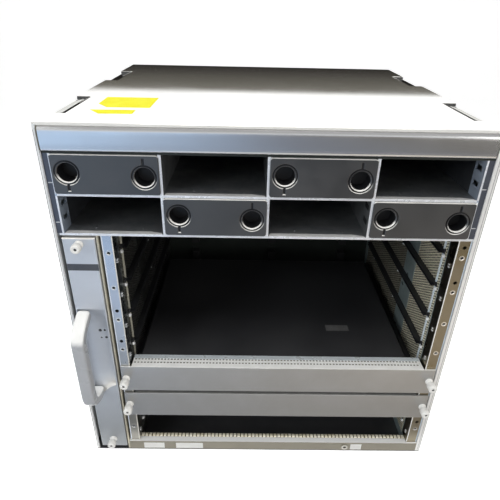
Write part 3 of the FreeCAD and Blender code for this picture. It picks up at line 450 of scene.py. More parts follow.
face_low, face_high = bezel_low.z + bezel_roll, bezel_high.z - bezel_ledge
ledge_y, inner_y = bezel_low.y + bezel_ledge_back, bezel_low.y + bezel_face_wall
section = []
for step in range(roll_turns):
    bend = math.pi / 2 * step / roll_turns
    section.append((bezel_low.y + bezel_crown + bezel_roll_back * (1 - math.sin(bend)),
                    face_low - bezel_roll * math.cos(bend)))
for step in range(bezel_turns + 1):
    t = step / bezel_turns
    swell = (2 * t - 1) ** 4
    section.append((bezel_low.y + bezel_crown * swell, face_low + t * (face_high - face_low)))
section += [(ledge_y + nose_back, bezel_high.z - nose_drop), (ledge_y + 3 * nose_back, bezel_high.z),
            (bezel_high.y, bezel_high.z), (bezel_high.y, bezel_high.z - bezel_wall),
            (inner_y, bezel_high.z - bezel_wall), (inner_y, bezel_low.z + bezel_wall),
            (bezel_high.y, bezel_low.z + bezel_wall), (bezel_high.y, bezel_low.z)]


def bridge(build, near, far):
    """Closes the band between two rings that have as many points."""
    for i in range(len(near)):
        j = (i + 1) % len(near)
        build.faces.new((near[i], near[j], far[j], far[i]))


def extruded(build, outline, low, high):
    """Pulls an outline of Y and Z along X, with flat ends."""
    ends = [[build.verts.new((x, y, z)) for y, z in outline] for x in (low, high)]
    bridge(build, *ends)
    for end in ends:
        build.faces.new(end)


# Faces of the bezel that look up, such as its sloping ledge, are painted a darker grey reflection.
bezel_silver = finish("bezel_silver", (0.78, 0.79, 0.81), (0.74, 0.75, 0.77), 0.20, 0.92, scale=18,
                      gloss_change=0.03, grain_scale=1600, relief=0.0000015, top_lighting=(0.44, 0.44, 0.44))
build = bmesh.new()
extruded(build, section, bezel_low.x + bezel_end, bezel_high.x)
bezel = new_piece("bezel_strip", build, bezel_silver, "chassis", sharp=30)
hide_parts("front_bezel")
# The left end cap is painted dark olive, as shade on the end that turns away from the light.
end_shade = finish("end_shade", (0.11, 0.10, 0.075), (0.08, 0.075, 0.055), 0.5, scale=60)
build = bmesh.new()
extruded(build, [(y + end_sunk, z) for y, z in section], bezel_low.x, bezel_low.x + bezel_end)
new_piece("bezel_end_cap", build, end_shade, "chassis", sharp=30)


# ---- Power bays
# Plated sheet that makes two rows of four bays, dark inside with painted shade on the inner
# walls behind their fronts, and the power board at the back. Painted highlights on the front edges and
# the open bays' front lips, latch windows filled with painted shade, rivet heads on the floors and latch
# ticks on the side flanges.
bay_zinc = finish("bay_zinc", (0.27, 0.28, 0.29), (0.17, 0.18, 0.19), 0.42, 0.7, scale=30, gloss_change=0.10,
                  grain_scale=700, drawn=(1, 0.15, 1))
flange_grey = finish("flange_grey", (0.10, 0.11, 0.14), (0.08, 0.088, 0.11), 0.45, 0.6, scale=30)
dress(bay_zinc, "psu_shelf_low", "psu_shelf_mid", "psu_dividers", edge=0.0003)
board_dark = finish("board_dark", (0.012, 0.016, 0.014), (0.018, 0.024, 0.02), 0.5, scale=40)
socket_black = finish("socket_black", (0.02, 0.02, 0.022), (0.03, 0.03, 0.032), 0.5, scale=40,
                      pale_edge=(0.08, 0.08, 0.08))
dress(board_dark, "psu_backplane", "psu_ceiling")
dress(socket_black, "psu_connectors", edge=0.0003)

base_low, base_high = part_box("psu_shelf_low")
shelf_low, shelf_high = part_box("psu_shelf_mid")
divider_low, divider_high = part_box("psu_dividers")
bay_floors = (base_high.z, shelf_high.z)
bay_gap = 0.0032
bay_pitch = (shelf_high.x - shelf_low.x + bay_gap) / 4
bay_clear = bay_pitch - bay_gap


def dome(build, place, radius, tall, axis="Z", segments=12):
    """A low rivet head on a face that looks along an axis."""
    lift = {"X": Matrix.Rotation(math.pi / 2, 4, "Y"), "-X": Matrix.Rotation(-math.pi / 2, 4, "Y"),
            "-Y": Matrix.Rotation(math.pi / 2, 4, "X"), "Z": Matrix.Identity(4)}[axis]
    spot = Matrix.Translation(place) @ lift
    turns = [2 * math.pi * i / segments for i in range(segments)]
    rings = [[build.verts.new(spot @ Vector((r * math.cos(a), r * math.sin(a), h))) for a in turns]
             for r, h in ((radius, 0.0), (radius * 0.85, tall * 0.6), (radius * 0.45, tall))]
    for near, far in zip(rings, rings[1:]):
        bridge(build, near, far)
    build.faces.new(rings[-1])


rivet_r, rivet_tall = 0.0017, 0.0005
rivet_places = ((0.27, 0.016), (0.75, 0.014), (0.45, 0.040), (0.12, 0.052), (0.88, 0.070), (0.55, 0.11))
build = bmesh.new()
for floor_z in bay_floors:
    for column in range(4):
        for across, back in rivet_places:
            x = shelf_low.x + (column + across) * bay_pitch
            dome(build, (x, front + back, floor_z), rivet_r, rivet_tall)
rivet_zinc = finish("rivet_zinc", (0.22, 0.23, 0.24), (0.16, 0.17, 0.18), 0.35, 0.8, scale=200)
new_piece("bay_rivets", build, rivet_zinc, "chassis")

bar_proud, bar_deep, bar_round = 0.00015, 0.0005, 0.0001
base_bar_short, side_bar_wide = 0.004, 0.0018
bars = [(base_low.x + base_bar_short, base_high.x - base_bar_short, base_low.z, base_high.z),
        (shelf_low.x, shelf_high.x, shelf_low.z, shelf_high.z)]
for row_z in ((divider_low.z, shelf_low.z), (shelf_high.z, divider_high.z)):
    for column in range(3):
        x = shelf_low.x + column * bay_pitch + bay_clear
        bars.append((x, x + bay_gap, *row_z))
    bars.append((shelf_low.x - side_bar_wide, shelf_low.x, *row_z))
    bars.append((shelf_high.x, shelf_high.x + side_bar_wide, *row_z))
build = bmesh.new()
for bar in bars:
    add_plate(build, rectangle(*bar), shelf_low.y - bar_proud, shelf_low.y + bar_deep, "Y", edge=bar_round)
# The bays' front edges carry a painted highlight.
front_edge_glint = finish("front_edge_glint", (0.86, 0.89, 0.94), (0.76, 0.78, 0.82), 0.3, 0.3, scale=60)
new_piece("bay_edges", build, front_edge_glint, "chassis")

window_reach = (0.0078, 0.0212)
window_rises = ((0.0111, 0.0168), (0.0272, 0.0331))
side_sheet, flange_sheet = 0.002, 0.001
shade_from, shade_tall, shade_thick = 0.0225, 0.042, 0.00008


def latch_window(floor_z, rise):
    """Outline of a latch window in a bay's wall, in Y and Z."""
    return rectangle(front + window_reach[0], front + window_reach[1], floor_z + rise[0], floor_z + rise[1])


side_blue = finish("side_blue", (0.50, 0.58, 0.70), (0.38, 0.44, 0.54), 0.40, 0.5, scale=30)
side_shade = finish("side_shade", (0.05, 0.054, 0.062), (0.035, 0.038, 0.044), 0.5, 0.3, scale=30)
shade = bmesh.new()
for side in ("left", "right"):
    low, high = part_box("psu_side_" + side)
    if side == "left":
        wall = (shelf_low.x - side_sheet, shelf_low.x)
        reach = (low.x, wall[0])
        inner = (wall[1], wall[1] + shade_thick)
    else:
        wall = (shelf_high.x, shelf_high.x + side_sheet)
        reach = (wall[1], high.x)
        inner = (wall[0] - shade_thick, wall[0])
    build = bmesh.new()
    add_plate(build, rectangle(low.y, high.y, low.z, high.z), *wall, "X",
              holes=[latch_window(floor_z, rise) for floor_z in bay_floors for rise in window_rises])
    for floor_z in bay_floors:
        add_plate(shade, rectangle(front + shade_from, high.y, floor_z, floor_z + shade_tall), *inner, "X")
    bay_side = new_piece("bay_side_" + side, build, side_blue, "chassis")
    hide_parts("psu_side_" + side)
    plate_piece("bay_flange_" + side, flange_grey, "chassis", "zinc_sheet",
                rectangle(*reach, low.z, high.z), low.y, low.y + flange_sheet, "Y")
new_piece("bay_side_shade", shade, side_shade, "chassis")

open_bays = ((0, 2), (1, 3))
window_bays, window_skin = (1, 2), 0.0002
lip_deep, lip_tall, lip_shoulder = 0.0062, 0.00025, 0.003
lip_inset, lip_cut, lip_taper = 0.001, 0.002, 0.014
lips, windows = bmesh.new(), bmesh.new()
for floor_z, columns in zip(bay_floors, open_bays):
    for column in columns:
        x0 = shelf_low.x + column * bay_pitch
        x1 = x0 + bay_clear
        lip_front, lip_back = shelf_low.y, shelf_low.y + lip_deep
        add_plate(lips, [(x0 + lip_inset, lip_front), (x1 - lip_inset, lip_front),
                         (x1 - lip_cut, lip_front + lip_shoulder), (x1 - lip_taper, lip_back),
                         (x0 + lip_inset + lip_cut, lip_back), (x0 + lip_inset, lip_back - lip_cut)],
                  floor_z, floor_z + lip_tall, "Z")
        for rise in window_rises if column in window_bays else ():
            add_plate(windows, latch_window(floor_z, rise), x1 - window_skin, x1, "X")
# The open bays' floor lips carry a painted highlight, and the latch windows painted shade.
lip_glint = finish("lip_glint", (0.72, 0.72, 0.71), (0.60, 0.60, 0.60), 0.35, 0.2, scale=60)
window_shade = finish("window_shade", (0.006, 0.006, 0.007), (0.01, 0.01, 0.011), 0.6, scale=60)
new_piece("bay_lip_glints", lips, lip_glint, "chassis")
new_piece("latch_windows", windows, window_shade, "chassis")

tick_rises, tick_tall, tick_wide = (0.012, 0.0545), 0.0010, 0.0050
tick_aside, tick_proud, tick_deep = 0.001, 0.0003, 0.0002
build = bmesh.new()
for side, inward in (("left", 1), ("right", -1)):
    low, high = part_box("psu_side_" + side)
    middle = (low.x + high.x - inward * side_sheet) / 2 + inward * tick_aside
    for rise in tick_rises:
        add_plate(build, rectangle(middle - tick_wide / 2, middle + tick_wide / 2, low.z + rise,
                                   low.z + rise + tick_tall), low.y - tick_proud, low.y + tick_deep, "Y")
tick_pale = finish("tick_pale", (0.62, 0.63, 0.65), (0.52, 0.53, 0.55), 0.3, 0.3, scale=200)
new_piece("latch_ticks", build, tick_pale, "chassis")


# ---- Power bay covers
# Four moulded covers in dark grey plastic with a fine texture. Each has two round finger
# cups with a thin collar in a ring groove, and a pry slot beside each cup. The groove, slots
# and cups are lined with painted shade, and rounded edges that look up carry a painted highlight.
cup_edge, cup_stagger = 0.0148, 0.0018
cup_r, cup_deep, cup_lead, cup_taper = 0.0096, 0.016, 0.0009, 0.0003
groove_out, groove_in, groove_deep = 0.0123, 0.0109, 0.0012
pry_half, pry_long, pry_bed = 0.0011, 0.0062, (0.0001, 0.0004)
lining_past = 0.001
cover_wall, cover_deep = 0.002, 0.014
cover_lap, cover_lap_deep = 0.0012, 0.0015
cover_corner, cover_edge, cover_ior = 0.003, 0.00074, 1.9
tongue_tall, tongue_thick, tongue_root = 0.022, 0.0015, 0.001


def turned(build, profile, place, segments=24, knurl=0.0, knurl_from=0.0, ends=(0, -1)):
    """Spins a profile of places along Y and radii about an axis through a point, and closes its ends.
    A knurl takes every other point in where the radius is over a size."""
    rings = []
    for y, radius in profile:
        ring = []
        for i in range(segments):
            turn = 2 * math.pi * i / segments
            reach = radius - (knurl if i % 2 and radius > knurl_from else 0.0)
            ring.append(build.verts.new((place[0] + reach * math.cos(turn), y,
                                         place[1] + reach * math.sin(turn))))
        rings.append(ring)
    for near, far in zip(rings, rings[1:]):
        bridge(build, near, far)
    for end in ends:
        build.faces.new(rings[end])


def rounded_box(x0, x1, z0, z1, radius, steps=6):
    """Corners of a rectangle with round corners."""
    points = []
    for cx, cz, first in ((x1 - radius, z1 - radius, 0), (x0 + radius, z1 - radius, 90),
                          (x0 + radius, z0 + radius, 180), (x1 - radius, z0 + radius, 270)):
        for step in range(steps + 1):
            bend = math.radians(first + 90 * step / steps)
            points.append((cx + radius * math.cos(bend), cz + radius * math.sin(bend)))
    return points


def cup_hole(x, z, side, segments=64):
    """Outline of the ring groove with the pry slot that runs out of it, up or down."""
    half = math.asin(pry_half / groove_out)
    start = side * math.pi / 2 + half
    points = [(x + groove_out * math.cos(start + (2 * math.pi - 2 * half) * i / segments),
               z + groove_out * math.sin(start + (2 * math.pi - 2 * half) * i / segments))
              for i in range(segments + 1)]
    tip = z + side * (groove_out + pry_long)
    return points + [(points[-1][0], tip), (points[0][0], tip)]


cover_plastic = finish("cover_plastic", (0.020, 0.021, 0.023), (0.028, 0.029, 0.032), 0.38, scale=25,
                       gloss_change=0.05, grain_scale=2600, relief=0.00005, top_lighting=(0.85, 0.84, 0.80))
cover_plastic.node_tree.nodes["Principled BSDF"].inputs["IOR"].default_value = cover_ior
# The cups, grooves and pry slots are lined with painted shade.
cup_shade = finish("cup_shade", (0.008, 0.008, 0.010), (0.012, 0.012, 0.014), 0.42, scale=60)
for number in (1, 2, 3, 4):
    low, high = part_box("psu_blank_%d" % number)
    body = "power_blank_%d" % number
    middle = (low.z + high.z) / 2
    cups = ((low.x + cup_edge, middle + cup_stagger, -1), (high.x - cup_edge, middle - cup_stagger, 1))
    build, dark = bmesh.new(), bmesh.new()
    add_plate(build, rounded_box(low.x, high.x, low.z, high.z, cover_corner), low.y, low.y + cover_lap_deep,
              "Y", edge=cover_edge, holes=[cup_hole(*cup) for cup in cups])
    hollow = rectangle(low.x + cover_lap + cover_wall, high.x - cover_lap - cover_wall, low.z + cover_wall,
                       high.z - cover_wall)
    add_plate(build, rounded_box(low.x + cover_lap, high.x - cover_lap, low.z, high.z, cover_corner),
              low.y + cover_lap_deep, low.y + cover_deep, "Y", holes=[hollow])
    bed_y = low.y + groove_deep
    for x, z, side in cups:
        turned(build, [(low.y, groove_in), (low.y, cup_r + cup_lead), (low.y + cup_lead, cup_r),
                       (low.y + cover_wall, cup_r)], (x, z), segments=64, ends=())
        turned(dark, [(bed_y, groove_out + lining_past), (bed_y, groove_in), (low.y, groove_in)], (x, z),
               segments=64, ends=())
        turned(dark, [(low.y + cover_wall, cup_r), (low.y + cup_deep, cup_r - cup_taper)], (x, z),
               segments=48, ends=(-1,))
        pry = sorted((z + side * groove_in, z + side * (groove_out + pry_long + lining_past)))
        add_plate(dark, rectangle(x - pry_half - lining_past, x + pry_half + lining_past, *pry),
                  bed_y + pry_bed[0], bed_y + pry_bed[1], "Y")
    for edge_x, inward in ((low.x + cover_lap, 1), (high.x - cover_lap, -1)):
        tongue = sorted((edge_x, edge_x + inward * tongue_thick))
        add_plate(build, rectangle(*tongue, middle - tongue_tall / 2, middle + tongue_tall / 2),
                  low.y + cover_deep - tongue_root, high.y, "Y")
    cover = new_piece("bay_cover_%d" % number, build, cover_plastic, body, sharp=20)
    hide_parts("psu_blank_%d" % number)
    new_piece("finger_cups_%d" % number, dark, cup_shade, body)


# ---- Power inlets
# Eight appliance inlets on the back, moulded in black plastic and held by the rear
# panel. Their rims are a little paler, partly worn and partly a painted highlight.
inlet_black = finish("inlet_black", (0.022, 0.022, 0.024), (0.032, 0.032, 0.034), 0.40, scale=40,
                     grain_scale=2200, pale_edge=(0.10, 0.10, 0.10))
dress(inlet_black, "power_inlets", edge=0.0004)


# ---- Card cage walls
# Plated sheet on both sides of the cage, with two fields pierced by columns of
# six-sided holes. A folded edge stands at the front of the first field, in lengths
# between the guides, and small bright clips hold each guide. The right wall's colours are
# painted light and the left wall's painted shade, the back field is painted darker still, and
# the holes are lined with painted shade. Strips of painted shade cover the walls' fronts and
# the folded edges carry a painted highlight.
slots, slot_pitch, slot_floor = 7, 0.043826, 0.0216
guide_rise, guide_tall, guide_gap = 0.0134, 0.005, 0.0005
hole_pitch, hole_r = 0.0035, 0.00135
field_sheet, field_sunk, field_shading = 0.0010, 0.0002, {"front": 1.0, "back": 0.35}
field_spans, field_foot, field_head = ((0.0195, 0.094), (0.128, 0.304)), 0.011, 0.003
opening_inset, opening_foot, opening_head, sheet_round = 0.001, 0.012, 0.004, 0.0001
strip_inset, strip_skin = 0.001, (0.0002, 0.0001)
fold_place, fold_proud, fold_thick, fold_round = 0.0265, 0.0020, 0.0012, 0.0002
# Each clip's place back from the front, rise from the slot's floor, radius and height.
clip_kinds = ((0.0258, 0.0100, 0.0025, 0.0026), (0.137, 0.0095, 0.0024, 0.0050),
              (0.248, 0.0095, 0.0024, 0.0050))
tab_rises, tab_span = (0.0055, 0.0085), (0.0075, 0.0105)
tab_tall, tab_proud, tab_round = 0.0012, 0.0012, 0.0003


def dimmed(colour, share):
    """A colour at a share of its strength."""
    return [share * part for part in colour]


def pierced_field(build, dark, x0, x1, y_span, z_span):
    """Sheet across X made of six-sided cells, each with a hole whose sides and floor are painted shade."""
    column_step = hole_pitch * math.sqrt(3) / 2
    cell_r = hole_pitch / math.sqrt(3)
    corners = [(math.cos(math.radians(60 * i)), math.sin(math.radians(60 * i))) for i in range(6)]
    for column in range(int((y_span[1] - y_span[0]) / column_step) + 1):
        y = y_span[0] + column * column_step
        for row in range(int((z_span[1] - z_span[0]) / hole_pitch)):
            z = z_span[0] + (row + 0.5 * (column % 2)) * hole_pitch
            outer = [build.verts.new((x0, y + cell_r * c, z + cell_r * s)) for c, s in corners]
            inner = [build.verts.new((x0, y + hole_r * c, z + hole_r * s)) for c, s in corners]
            mouth = [dark.verts.new(vert.co) for vert in inner]
            deep = [dark.verts.new((x1, vert.co.y, vert.co.z)) for vert in inner]
            bridge(build, outer, inner)
            bridge(dark, mouth, deep)
            dark.faces.new(deep)


clip_white = finish("clip_white", (0.88, 0.89, 0.90), (0.78, 0.79, 0.80), 0.30, 0.2, scale=300)
# The tones below are painted light and shade: lit on the right, shaded on the left and in the back field.
hole_shade = finish("hole_shade", (0.010, 0.010, 0.010), (0.015, 0.015, 0.015), 0.6, scale=60)
cage_lighting_tones = {"left": (0.045, 0.047, 0.045), "right": (0.46, 0.56, 0.56)}
field_lighting_tones = {"left": (0.05, 0.05, 0.045), "right": (1.0, 0.94, 0.72)}
front_shade_tones = {"left": ((0.06, 0.062, 0.057), (0.24, 0.25, 0.225)),
               "right": ((0.012, 0.013, 0.018), (0.02, 0.02, 0.025))}
fold_glint_tones = {"left": (0.60, 0.58, 0.48), "right": (0.80, 0.90, 1.0)}
for side, inward in (("left", 1), ("right", -1)):
    low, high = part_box(side + "_cage_wall")
    face = high.x if inward > 0 else low.x
    cage_zinc = finish(side + "_cage_zinc", cage_lighting_tones[side], dimmed(cage_lighting_tones[side], 0.8), 0.38, 0.6,
                       scale=30, gloss_change=0.12, grain_scale=700, drawn=(1, 0.2, 1))
    build, holes, folds, clips = (bmesh.new() for _ in range(4))
    openings = [rectangle(front + y0 + opening_inset, front + y1 - opening_inset, low.z + opening_foot,
                          high.z - opening_head) for y0, y1 in field_spans]
    add_plate(build, rectangle(low.y, high.y, low.z, high.z), low.x, high.x, "X", edge=sheet_round,
              holes=openings)
    for (place, dim), (y0, y1) in zip(field_shading.items(), field_spans):
        field = bmesh.new()
        tone = dimmed(field_lighting_tones[side], dim)
        field_zinc = finish("%s_%s_zinc" % (side, place), tone, dimmed(tone, 0.85), 0.38, 0.2, scale=30,
                            gloss_change=0.12, grain_scale=700)
        pierced_field(field, holes, face - inward * field_sunk, face - inward * (field_sunk + field_sheet),
                      (front + y0, front + y1 - hole_pitch / 2), (low.z + field_foot, high.z - field_head))
        new_piece("%s_cage_field_%s" % (side, place), field, field_zinc, "chassis")
    fold_x = sorted((face, face + inward * fold_proud))
    tab_x = sorted((face, face + inward * tab_proud))
    for slot in range(slots):
        floor_z = slot_floor + slot * slot_pitch
        add_plate(folds, rectangle(*fold_x, front + fold_place, front + fold_place + fold_thick),
                  floor_z + guide_rise + guide_tall + guide_gap,
                  min(floor_z + slot_pitch + guide_rise - guide_gap, high.z), "Z", edge=fold_round)
        for back, rise, radius, tall in clip_kinds:
            dome(clips, (face, front + back, floor_z + rise), radius, tall, axis="X" if inward > 0 else "-X")
        for rise in tab_rises:
            add_plate(clips, rectangle(*tab_x, front + tab_span[0], front + tab_span[1]), floor_z + rise,
                      floor_z + rise + tab_tall, "Z", edge=tab_round)
    wall = new_piece(side + "_cage_sheet", build, cage_zinc, "chassis", sharp=30)
    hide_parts(side + "_cage_wall")
    front_shade_zinc = finish(side + "_front_zinc", *front_shade_tones[side], 0.32, 0.6, scale=170, gloss_change=0.1)
    plate_piece(side + "_cage_front", front_shade_zinc, "chassis", "cage_sheet",
                rectangle(low.y, front + field_spans[0][0] - strip_inset, low.z + strip_inset, high.z),
                *sorted((face - inward * strip_skin[0], face + inward * strip_skin[1])), "X")
    new_piece(side + "_cage_holes", holes, hole_shade, "chassis")
    fold_glint = finish(side + "_fold_glint", fold_glint_tones[side], dimmed(fold_glint_tones[side], 0.85), 0.30, 0.2,
                       scale=60)
    new_piece(side + "_cage_folds", folds, fold_glint, "chassis")
    new_piece(side + "_guide_clips", clips, clip_white, "chassis")


# ---- Card guides
# Black moulded channels, one for each slot on each wall, snapped into the sheet. Their
# lips are a little paler at the edges, partly worn where cards have rubbed and partly a painted highlight.
guide_black = finish("guide_black", (0.016, 0.017, 0.019), (0.024, 0.025, 0.028), 0.42, scale=60,
                     grain_scale=1800, pale_edge=(0.06, 0.06, 0.065))
dress(guide_black, "card_guides_left", "card_guides_right", edge=0.0004)


# ---- Rails
# Upright plated strips that the cards screw to, bluish on the left and brassy on the
# right. Every tapped hole is an insert with a bright flanged ring.
fade, fade_in, fade_out = effect_group("height_shade", {"Low": 0.02, "High": 0.13}, "Mask")
spot = put(fade, "ShaderNodeTexCoord").outputs["Object"]
height = put(fade, "ShaderNodeSeparateXYZ", {"Vector": spot}).outputs["Z"]
fade.links.new(mapped(fade, height, fade_in["Low"], fade_in["High"]), fade_out["Mask"])


def shade_toward_foot(material, low, high, tone):
    """Paints shade onto a finish toward the bottom of the part, between two heights."""
    tree = material.node_tree
    base = tree.nodes["Principled BSDF"].inputs["Base Color"]
    mask = put(tree, "ShaderNodeGroup", {"Low": low, "High": high}, node_tree=fade).outputs["Mask"]
    tint = blended(tree, mask, tone, (1, 1, 1))
    tree.links.new(blended(tree, 1.0, base.links[0].from_socket, tint, blend_type="MULTIPLY"), base)


rail_blue = finish("rail_blue", (0.60, 0.65, 0.72), (0.56, 0.59, 0.64), 0.30, 1.0, scale=22,
                   gloss_change=0.08, drawn=(1, 1, 0.1))
rail_brass = finish("rail_brass", (0.26, 0.225, 0.15), (0.30, 0.27, 0.21), 0.32, 1.0, scale=22,
                    gloss_change=0.08, drawn=(1, 1, 0.1))
# Painted shade darkens the left rail toward its foot.
shade_toward_foot(rail_blue, 0.10, 0.25, (0.62, 0.56, 0.46))
dress(rail_blue, "left_rail", edge=0.0003)
dress(rail_brass, "right_rail", edge=0.0003)

# Thin strips of painted highlight run up both edges of each rail.
glint_wide, glint_proud, glint_deep, glint_foot = 0.0012, 0.00012, 0.0004, 0.001
glint_tones = {"left": ((0.84, 0.90, 0.98), (0.80, 0.78, 0.70)),
              "right": ((0.92, 0.92, 0.90), (0.72, 0.82, 0.92))}
for side, (near_tone, far_tone) in glint_tones.items():
    low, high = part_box(side + "_rail")
    for end, tone, x in (("a", near_tone, low.x), ("b", far_tone, high.x - glint_wide)):
        glint_paint = finish("%s_trim_%s" % (side, end), tone, dimmed(tone, 0.9), 0.35, 0.2, scale=60)
        plate_piece("%s_rail_trim_%s" % (side, end), glint_paint, "chassis", "rail_zinc",
                    rectangle(x, x + glint_wide, low.z + glint_foot, high.z), low.y - glint_proud,
                    low.y + glint_deep, "Y")

insert_out, insert_lip, insert_bore, insert_lead = 0.0031, 0.0024, 0.0016, 0.0002
insert_deep, insert_shoulder, insert_proud, insert_drop = 0.0016, 0.0002, 0.00024, 0.0012
insert_from_left, insert_from_right = 0.0060, 0.0062
insert_bright = finish("insert_bright", (0.80, 0.79, 0.76), (0.68, 0.67, 0.64), 0.25, 1.0, scale=200)
rail_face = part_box("left_rail")[0].y
insert_face = rail_face - insert_proud
insert_profile = [(rail_face + insert_deep, insert_out), (rail_face - insert_shoulder, insert_out),
                  (insert_face, insert_lip), (insert_face, insert_bore + insert_lead),
                  (rail_face, insert_bore), (rail_face + insert_deep, insert_bore)]
build = bmesh.new()
for slot in range(slots):
    z = slot_floor + (slot + 0.5) * slot_pitch - insert_drop
    turned(build, insert_profile, (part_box("left_rail")[0].x + insert_from_left, z))
    turned(build, insert_profile, (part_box("right_rail")[1].x - insert_from_right, z))
new_piece("rail_inserts", build, insert_bright, "chassis")


# ---- Backplane and the fan bay
# The board and connectors at the back of the cage, the wall beside it, and the folded
# carrier that holds the fans behind the tray's front.
dress(board_dark, "backplane", "fan_tray_board")
dress(socket_black, "backplane_connectors", edge=0.0004)
wall_beige = finish("wall_beige", (0.58, 0.53, 0.40), (0.48, 0.45, 0.36), 0.38, 0.4, scale=30)
dress(wall_beige, "fan_bay_wall", edge=0.0003)
dress(bay_zinc, "fan_runner_low", "fan_runner_top", "fan_tray_frame", edge=0.0003)
fan_black = finish("fan_black", (0.020, 0.020, 0.021), (0.030, 0.030, 0.031), 0.45, scale=30,
                   grain_scale=2000, pale_edge=(0.07, 0.07, 0.07))
dress(fan_black, "fan_housings", *["fan_rotor_%d" % number for number in range(1, 9)], edge=0.0003)


# ---- Fan tray front
# A moulded cover in light blue-grey. A finger scoop is sunk behind the handle, with a
# flat bed that curves up to the face at its lower end. A dark band crosses it near the
# top and four small dark dots stand in the scoop. Faces that look up, such as the scoop's
# curve, carry a painted highlight, and painted shade darkens the cover toward its foot.
panel_low, panel_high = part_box("fan_tray_panel")
panel_round = 0.0012
scoop_top, scoop_bend, scoop_deep = 0.2336, 0.1560, 0.008
scoop_end_from, scoop_end_reach, scoop_end_power = -0.1766, 0.0353, 1.9
scoop_end_high, scoop_end_fall = 0.1190, 0.0340
scoop_wall, scoop_slope, wall_slope = 0.0017, 0.0018, 0.0006


def held(value):
    """A value kept between 0 and 1."""
    return min(max(value, 0.0), 1.0)


def eased(value):
    """Runs smoothly from 0 to 1."""
    value = held(value)
    return value * value * (3 - 2 * value)


def panel_depth(x, z):
    """How far the cover's face is sunk at a place on it."""
    bed = 0.0
    across = held((scoop_end_from - x) / scoop_end_reach)
    scoop_end = scoop_end_high - scoop_end_fall * across ** scoop_end_power
    if scoop_end < z < scoop_bend:
        bed = scoop_deep * math.sqrt(1 - ((scoop_bend - z) / (scoop_bend - scoop_end)) ** 2)
    elif scoop_bend <= z:
        bed = scoop_deep * eased((scoop_top - z) / scoop_slope)
    reach = min(x - panel_low.x, panel_high.x - x)
    bed *= eased((reach - scoop_wall) / wall_slope)
    rim = min(reach, z - panel_low.z, panel_high.z - z)
    fall = max(panel_round - rim, 0.0)
    return bed + panel_round - math.sqrt(max(panel_round ** 2 - fall ** 2, 0.0))


def ladder(low, high, count, steps, extra=()):
    """Evenly spaced places from low to high, with more at steps in from both ends and the extra ones."""
    places = [low + (high - low) * i / count for i in range(count + 1)]
    ends = [place for step in steps for place in (low + step, high - step)]
    return sorted(set(places + ends + list(extra)))


rim_steps = (0.0002, 0.0005, 0.0008, 0.0012)
wall_steps = (0.0017, 0.0019, 0.0021, 0.0023, 0.0026)
top_steps = (0, 0.0004, 0.0008, 0.0012, 0.0018)
curve_from, curve_step, curve_rows = 0.0830, 0.0004, 95
panel_columns, panel_rows = 40, 150
columns = ladder(panel_low.x, panel_high.x, panel_columns, rim_steps + wall_steps)
scoop_rows = [scoop_top - step for step in top_steps]
scoop_rows += [curve_from + curve_step * i for i in range(curve_rows)]
rows = ladder(panel_low.z, panel_high.z, panel_rows, rim_steps, scoop_rows)
build = bmesh.new()
surface = [[build.verts.new((x, panel_low.y + panel_depth(x, z), z)) for x in columns] for z in rows]
for low_row, high_row in zip(surface, surface[1:]):
    for i in range(len(columns) - 1):
        build.faces.new((low_row[i], low_row[i + 1], high_row[i + 1], high_row[i]))
border = surface[0] + [row[-1] for row in surface[1:]] + surface[-1][-2::-1]
border += [row[0] for row in surface[-2:0:-1]]
bridge(build, border, [build.verts.new((vert.co.x, panel_high.y, vert.co.z)) for vert in border])
# Painted highlight on upward faces, painted shade toward the foot.
tray_paint = finish("tray_paint", (0.60, 0.635, 0.69), (0.57, 0.60, 0.65), 0.36, 0.35, scale=14,
                    grain_scale=2200, relief=0.00004, top_lighting=(0.88, 0.86, 0.82))
shade_toward_foot(tray_paint, 0.02, 0.13, (0.60, 0.60, 0.58))
tray_front = new_piece("tray_front", build, tray_paint, "fan_tray", sharp=45)
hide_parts("fan_tray_panel")

band_low, band_high, band_short, band_deep = 0.2847, 0.2928, 0.0004, 0.0003
band_ink = finish("band_ink", (0.055, 0.06, 0.075), (0.07, 0.075, 0.09), 0.42, scale=60)
plate_piece("tray_band", band_ink, "fan_tray", "tray_panel_paint",
            rectangle(panel_low.x + band_short, panel_high.x - band_short, band_low, band_high),
            panel_low.y - skin, panel_low.y + band_deep, "Y")

# Each dot's place across, height and radius.
dots = ((-0.1918, 0.1868, 0.0011), (-0.1860, 0.1872, 0.0017), (-0.1921, 0.1975, 0.0020),
        (-0.1868, 0.1978, 0.0014))
dot_tall = 0.0003
light_dark = finish("light_dark", (0.03, 0.03, 0.035), (0.05, 0.05, 0.055), 0.25, scale=300)
build = bmesh.new()
for x, z, radius in dots:
    dome(build, (x, panel_low.y + panel_depth(x, z), z), radius, dot_tall, axis="-Y")
new_piece("tray_lights", build, light_dark, "fan_tray")


# ---- Fan tray handle
# A moulded bow in pale plastic, as wide as a finger, with a painted highlight where it
# looks up. A flat upper arm runs out to a rounded corner, and a lower one runs back below the grip.
bow_low, bow_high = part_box("fan_tray_handle")
bow_wide, bow_side = 0.0150, 0.0006
bow_face, grip_y = panel_low.y, bow_low.y + 0.0063
arm_thick, grip_thick = 0.0128, 0.0124
